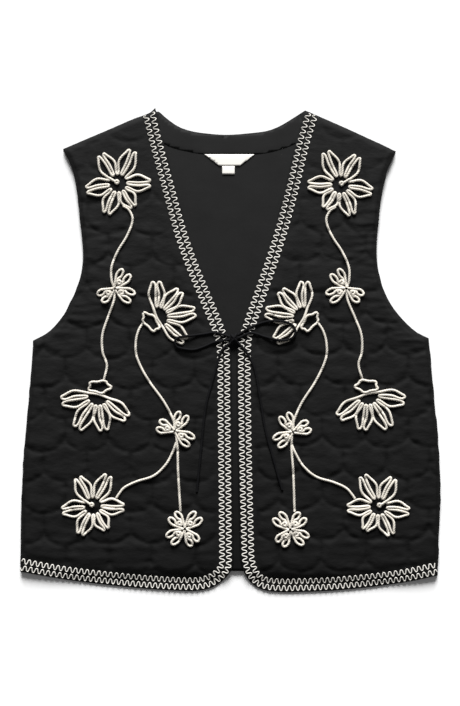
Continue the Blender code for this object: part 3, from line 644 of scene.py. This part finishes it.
# %% Build the back panel and the lining
def back_outline(step):
    """The outline of the back: the fronts' outer edges, joined at the neck and at the hem."""
    outer = {side: [] for side in FRONT_EDGES}
    for side, edges in FRONT_EDGES.items():
        for stretch in ("side", "armhole", "shoulder"):
            outer[side] += smooth(edges[stretch], step)[:-1]
    neck = smooth(BACK_NECK, step)[:-1]
    return [*smooth(BACK_HEM, step)[1:-1], *outer["right"], *neck, *reversed(outer["left"])]


def rounded_wall(outline, full, thin, reach):
    """A thickness that is full inside a piece and thins to its edge in a round of this reach."""
    edge = nearest_tree(spaced([*outline, outline[0]], 1.0))

    def wall(x, y):
        return thin + (full - thin) * math.sqrt(1 - (1 - min(gap_to(edge, x, y) / reach, 1.0)) ** 2)

    return wall


def build_back():
    """The back panel, flat on the table."""
    outline = back_outline(6.0)
    bm = bmesh.new()
    face = panel_face(bm, outline, 0.4, (0.6, 1.0, 1.6, 2.4))
    cut_squares(bm, face, 12.0)
    closed_wall(bm, lambda x, y: 0.0, rounded_wall(outline, BACK_WALL, 0.8, 8.0))
    declare_sheet(finish_piece("plain_back", bm, cotton, "quilted_cotton", "back_panel"), outline)


def build_lining():
    """The smooth inner cloth, from the facing's seam to the hem."""
    outline = back_outline(8.0)
    bm = bmesh.new()
    face = panel_face(bm, outline, 8.5, ())
    cut_squares(bm, face, 6.0)
    closed_wall(bm, lambda x, y: LINING_LOW,
                lambda x, y: 0.85 + 0.14 * stretched_noise(x, y, 45.0, 90.0, 2.3))
    piece = finish_piece("smooth_lining", bm, lining_cloth, "lining_cloth", "back_lining")
    declare_sheet(piece, outline, "back_panel")


def build_facing():
    """The curved neck facing: a band that stands a little above the lining at its stitched edge."""
    seam = smooth(FACING_SEAM, 3.0)
    neck = [p for p in beside(smooth(BACK_NECK, 3.0), 1.6) if abs(p.x) < 86.0]
    outline = [*reversed(seam), *neck]
    bm = bmesh.new()
    face = panel_face(bm, outline, 0.0, (0.5, 0.8, 1.0))
    cut_squares(bm, face, 4.0)
    edge = rounded_wall(outline, 0.95, 0.4, 2.3)
    closed_wall(bm, lambda x, y: LINING_LOW + 0.6,
                lambda x, y: edge(x, y) + 0.06 * stretched_noise(x, y, 9.0, 30.0, 4.4))
    piece = finish_piece("neck_band", bm, lining_cloth, "lining_cloth", "neck_facing")
    declare_sheet(piece, outline, "back_panel", "back_lining")


build_back()
build_lining()
build_facing()
print("back, lining and facing are in")

# %% [markdown]
# ## Label
#
# The label is a cream woven tape with slanted ends, caught under the facing's seam, and a small
# folded tab hangs below it. Both stay bare. They stand a little more than a millimetre above the
# lining, enough for a thin shadow below them.

# %% Material: woven tape
tape, tape_tree, tape_shader = new_material("cream_woven_tape", Roughness=0.6)
tape_place = add_node(tape_tree, "ShaderNodeTexCoord").outputs["Object"]
tape_rib = add_node(tape_tree, "ShaderNodeTexWave", {"bands_direction": "Y"},
                    {"Scale": 2 * math.pi / (0.8 * MM) / 20, "Distortion": 0.3}, {"Vector": tape_place})
tape_bump = add_node(tape_tree, "ShaderNodeBump", inputs={"Strength": 0.25, "Distance": 0.0001},
                     links={"Height": tape_rib.outputs["Fac"]})
tape_tree.links.new(tape_bump.outputs["Normal"], tape_shader.inputs["Normal"])
tape_shader.inputs["Base Color"].default_value = (*linear("#eeebe4"), 1)


# %% Build the label and its tab
LABEL_LOW = 4.5


def build_tape(name, corners, node):
    """A flat piece of tape with soft edges."""
    outline = spaced([*corners, corners[0]], 1.5)[:-1]
    bm = bmesh.new()
    face = panel_face(bm, outline, 0.0, (0.35, 0.4))
    cut_squares(bm, face, 3.0)
    edge = rounded_wall(outline, 0.9, 0.5, 0.8)
    closed_wall(bm, lambda x, y: LABEL_LOW,
                lambda x, y: edge(x, y) + 0.12 * stretched_noise(x, y, 14.0, 9.0, 8.8))
    declare_sheet(finish_piece(name, bm, tape, "label_tape", node), outline, "back_lining")


LABEL_CORNERS = [(-31.1, 238.4), (-13.2, 224.5), (12.0, 224.5), (29.9, 238.4)]
TAB_CORNERS = [(-9.5, 224.2), (-9.5, 214.1), (5.7, 214.1), (5.7, 224.2)]
build_tape("label_tape", [Vector(p) for p in LABEL_CORNERS], "neck_label")
build_tape("label_fold", [Vector(p) for p in TAB_CORNERS], "label_tab")
print("label is in")

# %% [markdown]
# ## Cords
#
# Cotton cord is twisted from three strands, so its surface shows a slanted rib. Here that rib is
# real: each cord is a curve whose section is a three-lobed ring, and the section turns a little at
# every point. A cord laid on cloth follows it, so each point's height comes from a ray cast down on
# what is below.

# %% Materials: cream and bleached cotton cord
def cord_material(name, darker, lighter):
    """Soft cotton cord: uneven in colour over a centimetre, and fuzzy with fibres."""
    look, tree, shader = new_material(name, Roughness=0.75)
    place = add_node(tree, "ShaderNodeTexCoord").outputs["Object"]
    patchy = add_node(tree, "ShaderNodeTexNoise", inputs={"Scale": 90.0, "Detail": 3.0},
                      links={"Vector": place})
    shades = {"Color1": (*linear(darker), 1), "Color2": (*linear(lighter), 1)}
    mixed = add_node(tree, "ShaderNodeMixRGB", inputs=shades, links={"Fac": patchy.outputs["Fac"]})
    tree.links.new(mixed.outputs["Color"], shader.inputs["Base Color"])
    fibre = add_node(tree, "ShaderNodeTexNoise", inputs={"Scale": 2200.0, "Detail": 2.0},
                     links={"Vector": place})
    fuzz = add_node(tree, "ShaderNodeBump", inputs={"Strength": 0.3, "Distance": 0.0002},
                    links={"Height": fibre.outputs["Fac"]})
    tree.links.new(fuzz.outputs["Normal"], shader.inputs["Normal"])
    shader.inputs["Sheen Weight"].default_value = 0.2
    return look


flower_cord = cord_material("cream_cotton_cord", "#c2bcb0", "#d8d2c7")
row_cord = cord_material("bleached_cotton_cord", "#cbc8c0", "#e0ddd6")
print("cord materials:", flower_cord.name, row_cord.name)


# %% A cord along points
def top_below(x, y):
    """The height of the cloth or cord that lies highest at x, y."""
    highest = 0.0
    for tree in surfaces:
        hit = tree.ray_cast(Vector((x, y, 60.0)), Vector((0, 0, -1)))[0]
        highest = max(highest, hit.z if hit else 0.0)
    return highest


def laid(line, radius, sink, even):
    """Puts a flat line on what is below it: sunk in a little, with its heights evened out."""
    reach = radius * 0.6
    around = ((0.0, 0.0), (reach, 0.0), (-reach, 0.0), (0.0, reach), (0.0, -reach))
    tops = np.array([max(top_below(p.x + x, p.y + y) for x, y in around) for p in line])
    if even:
        padded = np.pad(tops, even, mode="edge")
        tops = np.array([padded[i : i + 2 * even + 1].max() for i in range(len(tops))])
        padded = np.pad(tops, even, mode="edge")
        tops = np.array([padded[i : i + 2 * even + 1].mean() for i in range(len(tops))])
    return [Vector((p.x, p.y, top + radius - sink)) for p, top in zip(line, tops, strict=True)]


def lobed_section(radius, lobes, depth):
    """A closed curve used as a cord's section: a ring with this many lobes."""
    data = bpy.data.curves.new("section", "CURVE")
    spline = data.splines.new("POLY")
    count = lobes * 4
    spline.points.add(count - 1)
    for i, point in enumerate(spline.points):
        turn = 2 * math.pi * i / count
        reach = radius * (1 - depth / 2 + depth / 2 * math.cos(lobes * turn))
        point.co = (reach * math.cos(turn) * MM, reach * math.sin(turn) * MM, 0.0, 1.0)
    spline.use_cyclic_u = True
    section = bpy.data.objects.new("section", data)
    bpy.context.scene.collection.objects.link(section)
    return section


def twisted_cord(name, lines, radius, lay, look, node):
    """A piece of twisted cord along these lines of points, each with whether it closes, for a node."""
    section = lobed_section(radius, 3, 0.16)
    data = bpy.data.curves.new(name, "CURVE")
    data.dimensions = "3D"
    data.bevel_mode = "OBJECT"
    data.bevel_object = section
    data.use_fill_caps = True
    for line, closed in lines:
        spline = data.splines.new("POLY")
        spline.points.add(len(line) - 1)
        along = 0.0
        for i, (point, place) in enumerate(zip(spline.points, line, strict=True)):
            along += (place - line[i - 1]).length if i else 0.0
            point.co = (*(place * MM), 1.0)
            point.tilt = 2 * math.pi * along / lay
        spline.use_cyclic_u = closed
    curve = bpy.data.objects.new(name + "_route", data)
    bpy.context.scene.collection.objects.link(curve)
    drawn = curve.evaluated_get(bpy.context.evaluated_depsgraph_get())
    mesh = bpy.data.meshes.new_from_object(drawn)
    mesh.name = name
    mesh.shade_smooth()
    for helper in (curve, section):
        bpy.data.objects.remove(helper, do_unlink=True)
    add_piece(name, mesh, look, "cream_cord", node)


# %% [markdown]
# ## Two rows of wavy cord
#
# The trim is a thin bleached cord laid in tight meanders, one every 7 mm. The two rows mirror each
# other, so that they nearly touch and leave a chain of small dark diamonds between them.

# %% Build the wavy rows
WAVE_LENGTH = 7.15
HEM_WAVE_LENGTH = 6.85
WAVE_REACH = 3.0
WAVE_ROUND = 0.27
WAVY_CORD = 1.35
WAVY_LAY, WAVY_SINK = 5.0, 0.25
FROM_EDGE = {"outer": 5.0, "inner": 13.4}
FROM_SHOULDER = 1.4


def wavy_line(path, reach):
    """A meander along a path: it swings this far to either side, with round turns."""
    track = spaced(path, 0.5)
    waves = np.cumsum([0.5 / (HEM_WAVE_LENGTH if p.y < -275.0 else WAVE_LENGTH) for p in track])
    points = []
    for i in range(round(waves[-1] * 12) + 1):
        turn = 2 * math.pi * i / 12
        place = np.interp(i / 12, waves, range(len(track))) - 2 * WAVE_ROUND * math.sin(2 * turn)
        k = int(min(max(place, 0), len(track) - 2))
        base = track[k].lerp(track[k + 1], place - k)
        way = (track[min(k + 3, len(track) - 1)] - track[max(k - 2, 0)]).normalized()
        points.append(base + Vector((-way.y, way.x)) * reach * math.sin(turn))
    return points


def build_rows(side):
    """Both wavy rows of a front, from the shoulder down the closing edge and along the hem."""
    path = smooth(FRONT_EDGES[side]["closing"], 1.0)[:-1] + smooth(FRONT_EDGES[side]["hem"], 1.0)
    turn = 1 if side == "right" else -1
    shoulder = FRONT_EDGES[side]["shoulder"]
    highest = {p.x: p.y - FROM_SHOULDER for p in smooth(shoulder, 1.0)}
    for row, from_edge in FROM_EDGE.items():
        beside_edge = beside(path, from_edge * turn)
        track = [p for p in beside_edge if p.y < highest[min(highest, key=lambda x: abs(x - p.x))]]
        waves = wavy_line(track, WAVE_REACH * (1 if row == "outer" else -1))
        resting = laid(waves, WAVY_CORD / 2, WAVY_SINK, 0)
        twisted_cord(f"wavy_row_{row}_{side}", [(resting, False)], WAVY_CORD / 2, WAVY_LAY, row_cord,
                     f"trim_{row}_{side}")


for side in ("left", "right"):
    build_rows(side)
print("wavy rows are in")

# %% [markdown]
# ## Flowers
#
# The embroiderer never cuts the cord within a flower: it goes out along one side of a petal, turns
# at the tip and comes back, petal after petal. So a flower is one line, and it is drawn by one rule:
# petals stand in pairs, the two of a pair bow away from each other, and narrow turns near the middle
# join them. Full flowers have six pairs round an open middle. Flowers seen from the side have four
# pairs below a calyx, which is a low oval crown with five lobes. The small blossoms are pairs of
# oval loops with a little ring in each fork. A table says only where each pair stands and how far
# it reaches.

# %% Petal tables
COUCHED_CORD = 3.3
COUCHED_LAY, COUCHED_SINK = 9.0, 0.35
# A row for each pair, in the order that the cord goes round them: its angle and its reach
PAIRS = {
    "open": [(66, 43), (121, 40), (192, 39), (249, 39), (303, 34), (360, 39)],
    "side": [(190, 45), (238, 48), (279, 44), (321, 45)],
    "three_low": [(55, 25), (213, 22), (332, 25)],
    "three_high": [(63, 24), (327, 25), (159, 22)],
    "four": [(45, 24), (305, 22), (216, 24), (132, 23)],
}
# Petals: half the angle between the two of a pair, the bow of a pair's outer and inner sides, and
# for each kind how blunt the tips are and how far from the middle the narrow turns lie. END_TURN is
# how many degrees before and after a side flower's petals its cord turns back.
PETAL_HALF_SPREAD = 5.5
OUTER_BOW, FIRST_INNER_BOW, SECOND_INNER_BOW = 5.4, -0.8, 1.0
BLUNT = {"open": 1.7, "side": 2.8}
TURN_REACH = {"open": 11.0, "side": 13.5}
END_TURN = 20.0
# The crown of a side flower: its centre, radii, lobes and how deep they are, and where one points
CROWN_AT = Vector((1.5, 9.5))
CROWN_RADII = (13.0, 7.0)
CROWN_LOBES, LOBE_DEPTH, LOBE_TURN = 5, 0.13, 65.0
# Loops: half the angle between the two of a pair, half a loop's width, and the ring in the fork
LOOP_HALF_SPREAD = 13.0
LOOP_HALF_WIDTH = 3.2
RING_REACH, RING_RADIUS = 9.5, 2.1
# The middle of an open flower: a small ring, and a short stalk that comes to it from this angle
SEED_AT, SEED_RADIUS = Vector((-1.4, 1.7)), 1.9
STALK_ANGLE, STALK_REACHES = 148.0, (13.0, 8.5, 4.0)
# Flowers of the left front: kind, centre, turn in degrees and size
FLOWERS = {
    "shoulder_flower": ("open", (-136.0, 202.6), 0.0, 1.0),
    "chest_blossom": ("three_low", (-139.9, 74.7), 0.0, 1.0),
    "waist_flower": ("side", (-160.0, -54.0), 0.0, 1.0),
    "neckline_flower": ("side", (-88.3, 39.3), 130.7, 0.97),
    "middle_blossom": ("three_high", (-67.1, -98.4), 0.0, 1.0),
    "hem_flower": ("open", (-166.6, -189.2), -3.0, 0.96),
    "hem_blossom": ("four", (-54.9, -217.1), 0.0, 1.0),
}
MIRROR_SHIFT = {
    "shoulder_flower": (-2.0, -1.8), "chest_blossom": (1.3, 0.2), "waist_flower": (7.5, 0.9),
    "neckline_flower": (1.1, 0.0), "middle_blossom": (9.2, -1.2), "hem_flower": (13.6, -0.7),
    "hem_blossom": (18.2, -0.7),
}
STEMS = {
    "shoulder_stem": ("shoulder_flower", "chest_blossom",
                      [(-130.5, 175.5), (-123.0, 170.5), (-118.3, 158.6), (-124.9, 139.1),
                       (-136.6, 119.6), (-143.8, 100.5), (-143.5, 84.0), (-140.5, 75.5)]),
    "side_stem": ("chest_blossom", "waist_flower",
                  [(-140.0, 72.0), (-141.0, 60.0), (-148.7, 38.6), (-155.0, 18.0), (-154.6, -2.8),
                   (-149.6, -18.3), (-153.2, -36.5)]),
    "middle_stem": ("neckline_flower", "middle_blossom",
                    [(-104.4, 35.0), (-111.0, 24.0), (-114.4, 8.9), (-113.0, -8.9), (-99.7, -35.4),
                     (-80.5, -62.2), (-70.0, -82.0), (-66.0, -95.0)]),
    "curved_stem": ("middle_blossom", "hem_flower",
                    [(-65.2, -112.0), (-69.5, -123.5), (-78.1, -139.1), (-92.7, -152.5), (-114.2, -159.8),
                     (-128.6, -167.1), (-135.5, -175.5), (-138.0, -179.5)]),
    "straight_stem": ("middle_blossom", "hem_blossom",
                      [(-66.0, -99.0), (-64.4, -112.0), (-63.5, -123.5), (-63.2, -144.0), (-61.8, -170.0),
                       (-60.5, -190.0), (-60.3, -195.5)]),
}


# %% Lines of the cord
def from_angle(degrees, length):
    """The point at this angle and distance from a flower's centre."""
    return Vector((math.cos(math.radians(degrees)), math.sin(math.radians(degrees)))) * length


def petal(root, tip, after, blunt, bow_out, bow_back):
    """The keys of the cord round one petal, from one inner turn to the next."""
    axis = (tip - (root + after) / 2).normalized()
    across = Vector((-axis.y, axis.x))
    return [root.lerp(tip, 0.5) - across * bow_out, tip - axis * 1.5 * blunt - across * blunt, tip,
            tip - axis * 1.5 * blunt + across * blunt, after.lerp(tip, 0.5) + across * bow_back]


def inner_turn(root, before, after):
    """The keys of the narrow turn between two petals whose tips are given."""
    outwards = ((before - root).normalized() + (after - root).normalized()).normalized()
    across = Vector((-outwards.y, outwards.x))
    return [root + outwards * 1.8 - across * 1.3, root, root + outwards * 1.8 + across * 1.3]


def crown():
    """The keys of a side flower's calyx."""
    keys = []
    for i in range(4 * CROWN_LOBES):
        degrees = 90.0 / CROWN_LOBES * i
        reach = 1 + LOBE_DEPTH * math.cos(CROWN_LOBES * math.radians(degrees - LOBE_TURN))
        way = from_angle(degrees, reach)
        keys.append(CROWN_AT + Vector((way.x * CROWN_RADII[0], way.y * CROWN_RADII[1])))
    return keys


def petal_flower(kind):
    """The lines of a flower that has pairs of petals round its middle."""
    angles = [angle for angle, _ in PAIRS[kind]]
    middle = TURN_REACH[kind]
    closing = angles[0] + 360 if kind == "open" else angles[-1] + 2 * END_TURN
    tips, turns, bows = [], [], []
    for (angle, reach), onward in zip(PAIRS[kind], [*angles[1:], closing], strict=True):
        tips += [from_angle(angle + side * PETAL_HALF_SPREAD, reach) for side in (-1, 1)]
        turns += [from_angle(a, middle) for a in (angle, (angle + onward) / 2)]
        bows += [(OUTER_BOW, FIRST_INNER_BOW), (SECOND_INNER_BOW, OUTER_BOW)]
    before = turns[-1] if kind == "open" else from_angle(angles[0] - END_TURN, middle)
    keys = [] if kind == "open" else [before]
    for i, (tip, turn) in enumerate(zip(tips, turns, strict=True)):
        keys += petal(before, tip, turn, BLUNT[kind], *bows[i])
        keys += inner_turn(turn, tip, tips[(i + 1) % len(tips)])
        before = turn
    if kind == "open":
        stalk = [from_angle(STALK_ANGLE, reach) for reach in STALK_REACHES]
        return [(keys, True), (stalk, False), (ring_keys(SEED_AT, SEED_RADIUS), True)]
    return [([*keys[:-3], turns[-1], Vector((0.0, 0.5))], True), (crown(), True)]


def ring_keys(centre, radius):
    """A small closed ring."""
    return [centre + from_angle(60.0 * i, radius) for i in range(6)]


def loop_keys(base, tip):
    """The keys round an oval loop, from its base along one side to the tip and back."""
    axis = tip - base
    across = Vector((-axis.y, axis.x)).normalized() * LOOP_HALF_WIDTH
    turns = [math.radians(d) for d in (30, 75, 120, 152, 180, 208, 240, 285, 330)]
    return [base + axis * (1 - math.cos(t)) / 2 + across * math.sin(t) for t in turns]


def pair_flower(kind):
    """The lines of a blossom made of pairs of loops, each pair with a ring between its loops."""
    lines = []
    for angle, reach in PAIRS[kind]:
        ring = from_angle(angle, RING_REACH)
        along = from_angle(angle, 1.0)
        across = Vector((-along.y, along.x))
        loops = [loop_keys(ring + along * 1.5 + across * 5.0 * side,
                           from_angle(angle + side * LOOP_HALF_SPREAD, reach)) for side in (1, -1)]
        keys = [(along + across) * 1.2, *loops[0], ring - along * 3.2, *loops[1],
                (along - across) * 1.2]
        lines += [(keys, False), (ring_keys(ring, RING_RADIUS), True)]
    return lines


def placed(keys, centre, turn, size, mirrored, shift):
    """Sizes and turns a flower's keys, moves them to their place and, on the right, mirrors them."""
    cosine, sine = size * math.cos(math.radians(turn)), size * math.sin(math.radians(turn))
    flip = -1 if mirrored else 1
    turned = [(p.x * cosine - p.y * sine, p.x * sine + p.y * cosine) for p in keys]
    return [Vector((flip * (centre[0] + x), centre[1] + y)) + shift for x, y in turned]


# %% Build the flowers and stems
def couch(name, side, lines):
    """Lays the couched cord along the lines of one flower or stem."""
    twisted_cord(f"couched_{name}_{side}", lines, COUCHED_CORD / 2, COUCHED_LAY, flower_cord,
                 f"{name}_{side}")


def build_flower(name, side):
    """One couched flower; its smaller lines lie a little higher, where they cross the first."""
    kind, centre, turn, size = FLOWERS[name]
    shift = Vector(MIRROR_SHIFT[name] if side == "right" else (0.0, 0.0))
    found = petal_flower(kind) if kind in TURN_REACH else pair_flower(kind)
    lines = []
    for i, (keys, closed) in enumerate(found):
        line = smooth(placed(keys, centre, turn, size, side == "right", shift), 1.0, closed)
        line = line[:-1] if closed else line
        lift = 0.0 if i == 0 else 0.5 + 0.25 * (i % 2)
        resting = laid(line, COUCHED_CORD / 2, COUCHED_SINK, 0)
        lines.append(([p + Vector((0, 0, lift)) for p in resting], closed))
    couch(name, side, lines)


def build_stem(name, side):
    """One couched stem; on the right front the flowers at its ends carry it along."""
    start, end, keys = STEMS[name]
    line = smooth(keys, 1.0)
    if side == "right":
        ends = [Vector(MIRROR_SHIFT[flower]) for flower in (start, end)]
        last = len(line) - 1
        line = [Vector((-p.x, p.y)) + ends[0].lerp(ends[1], i / last) for i, p in enumerate(line)]
    couch(name, side, [(laid(line, COUCHED_CORD / 2, COUCHED_SINK, 0), False)])


for side in ("left", "right"):
    for name in FLOWERS:
        build_flower(name, side)
    for name in STEMS:
        build_stem(name, side)
print("flowers and stems are in")

# %% [markdown]
# ## The bow
#
# A rouleau is a strip of cloth sewn into a tube and turned inside out. It is limp, so it lies on
# whatever is below it, and the bow's loops and tails are four runs of it from one knot.

# %% The cords that the ties lie on
for piece in list(bpy.context.scene.objects):
    if piece.name.startswith(("couched_", "wavy_")):
        laid_mesh = bmesh.new()
        laid_mesh.from_mesh(piece.data)
        bmesh.ops.scale(laid_mesh, vec=(1 / MM, 1 / MM, 1 / MM), verts=laid_mesh.verts)
        surfaces.append(BVHTree.FromBMesh(laid_mesh))
        laid_mesh.free()
print(len(surfaces), "surfaces lie below the ties")

# %% Routes of the ties
TIE, TIE_SINK = 3.0, 0.7
KNOT_AT = Vector((4.9, 14.6))
KNOT_RADII = (6.0, 5.2)
TIE_ROUTES = {
    "tie_loop_left": (158.0, [(-18.3, 21.5), (-30.0, 20.0), (-47.0, 17.6), (-60.2, 16.1), (-65.0, 14.0),
                              (-67.0, 9.3), (-65.0, 4.6), (-60.2, 2.5), (-45.0, 0.6), (-32.0, 4.2),
                              (-19.0, 9.8)], 196.0),
    "tie_loop_right": (42.0, [(28.1, 29.3), (48.8, 35.4), (66.0, 34.6), (75.6, 30.2), (79.4, 22.8),
                              (76.8, 16.0), (70.2, 12.6), (59.0, 12.2), (42.7, 16.4), (25.6, 21.0)], 4.0),
    "tie_tail_left": (240.0, [(-10.0, -0.5), (-15.9, -18.3), (-22.0, -39.0), (-29.8, -70.8),
                              (-35.9, -128.1), (-40.3, -172.0)], None),
    "tie_tail_right": (310.0, [(19.5, -2.0), (29.3, -20.3), (36.6, -58.6), (42.7, -95.2),
                               (54.9, -140.3), (63.4, -169.6)], None),
}
# Its hem and neck colours differ a little: painted light, paler towards the neck
rouleau = cotton_material("black_rouleau_cotton", "#08080a", "#0c0c0e", 0.6, 0.8, 0.1)


def knot_side(degrees):
    """Where a tie leaves the knot at this angle."""
    way = from_angle(degrees, 1.0)
    return KNOT_AT + way * (1 / math.hypot(way.x / KNOT_RADII[0], way.y / KNOT_RADII[1]) - 0.5)


def round_tube(name, line, radius, *nodes):
    """A round tube along a line, as a curve of one open spline."""
    data = bpy.data.curves.new(name, "CURVE")
    data.dimensions = "3D"
    data.bevel_depth = radius * MM
    data.bevel_resolution = 3
    data.use_fill_caps = True
    spline = data.splines.new("POLY")
    spline.points.add(len(line) - 1)
    for i, (point, place) in enumerate(zip(spline.points, line, strict=True)):
        point.co = (*(place * MM), 1.0)
        point.radius = 1.0 + 0.07 * math.sin(i * 1.1) * math.sin(i * 0.37)
    return add_piece(name, data, rouleau, "rouleau", *nodes)


def build_tie(name):
    """One run of the tie, laid on what is below it; it returns the height where it leaves the knot."""
    leaves, keys, returns = TIE_ROUTES[name]
    ends = [] if returns is None else [knot_side(returns)]
    flat = smooth([knot_side(leaves), *keys, *ends], 2.0)
    line = laid(flat, TIE / 2, TIE_SINK, 3)
    tie = round_tube(f"rouleau_{name}", line, TIE / 2, name)
    return line[0].z


knot_height = max(build_tie(name) for name in TIE_ROUTES)
print("ties leave the knot at", round(knot_height, 1), "mm")


# %% The knot
KNOT_CORE = (5.2, 4.4, 3.2)
KNOT_TUBE, KNOT_RISE = 1.7, 3.0


def build_knot(height):
    """A core and two turns of the tube that cross over it."""
    bm = bmesh.new()
    bmesh.ops.create_uvsphere(bm, u_segments=32, v_segments=16, radius=1.0)
    bmesh.ops.scale(bm, vec=KNOT_CORE, verts=bm.verts)
    bmesh.ops.translate(bm, vec=(*KNOT_AT, height), verts=bm.verts)
    finish_piece("knot_core", bm, rouleau, "rouleau", "bow_knot")
    for name, tilt, reach in (("knot_turn_over", 62.0, 5.6), ("knot_turn_under", 128.0, 4.6)):
        line = []
        for i in range(25):
            swing = math.radians(-20 + 220 * i / 24)
            flat = KNOT_AT + from_angle(tilt, reach * math.cos(swing))
            line.append(Vector((flat.x, flat.y, height + KNOT_RISE * math.sin(swing))))
        round_tube(name, line, KNOT_TUBE)


build_knot(knot_height)
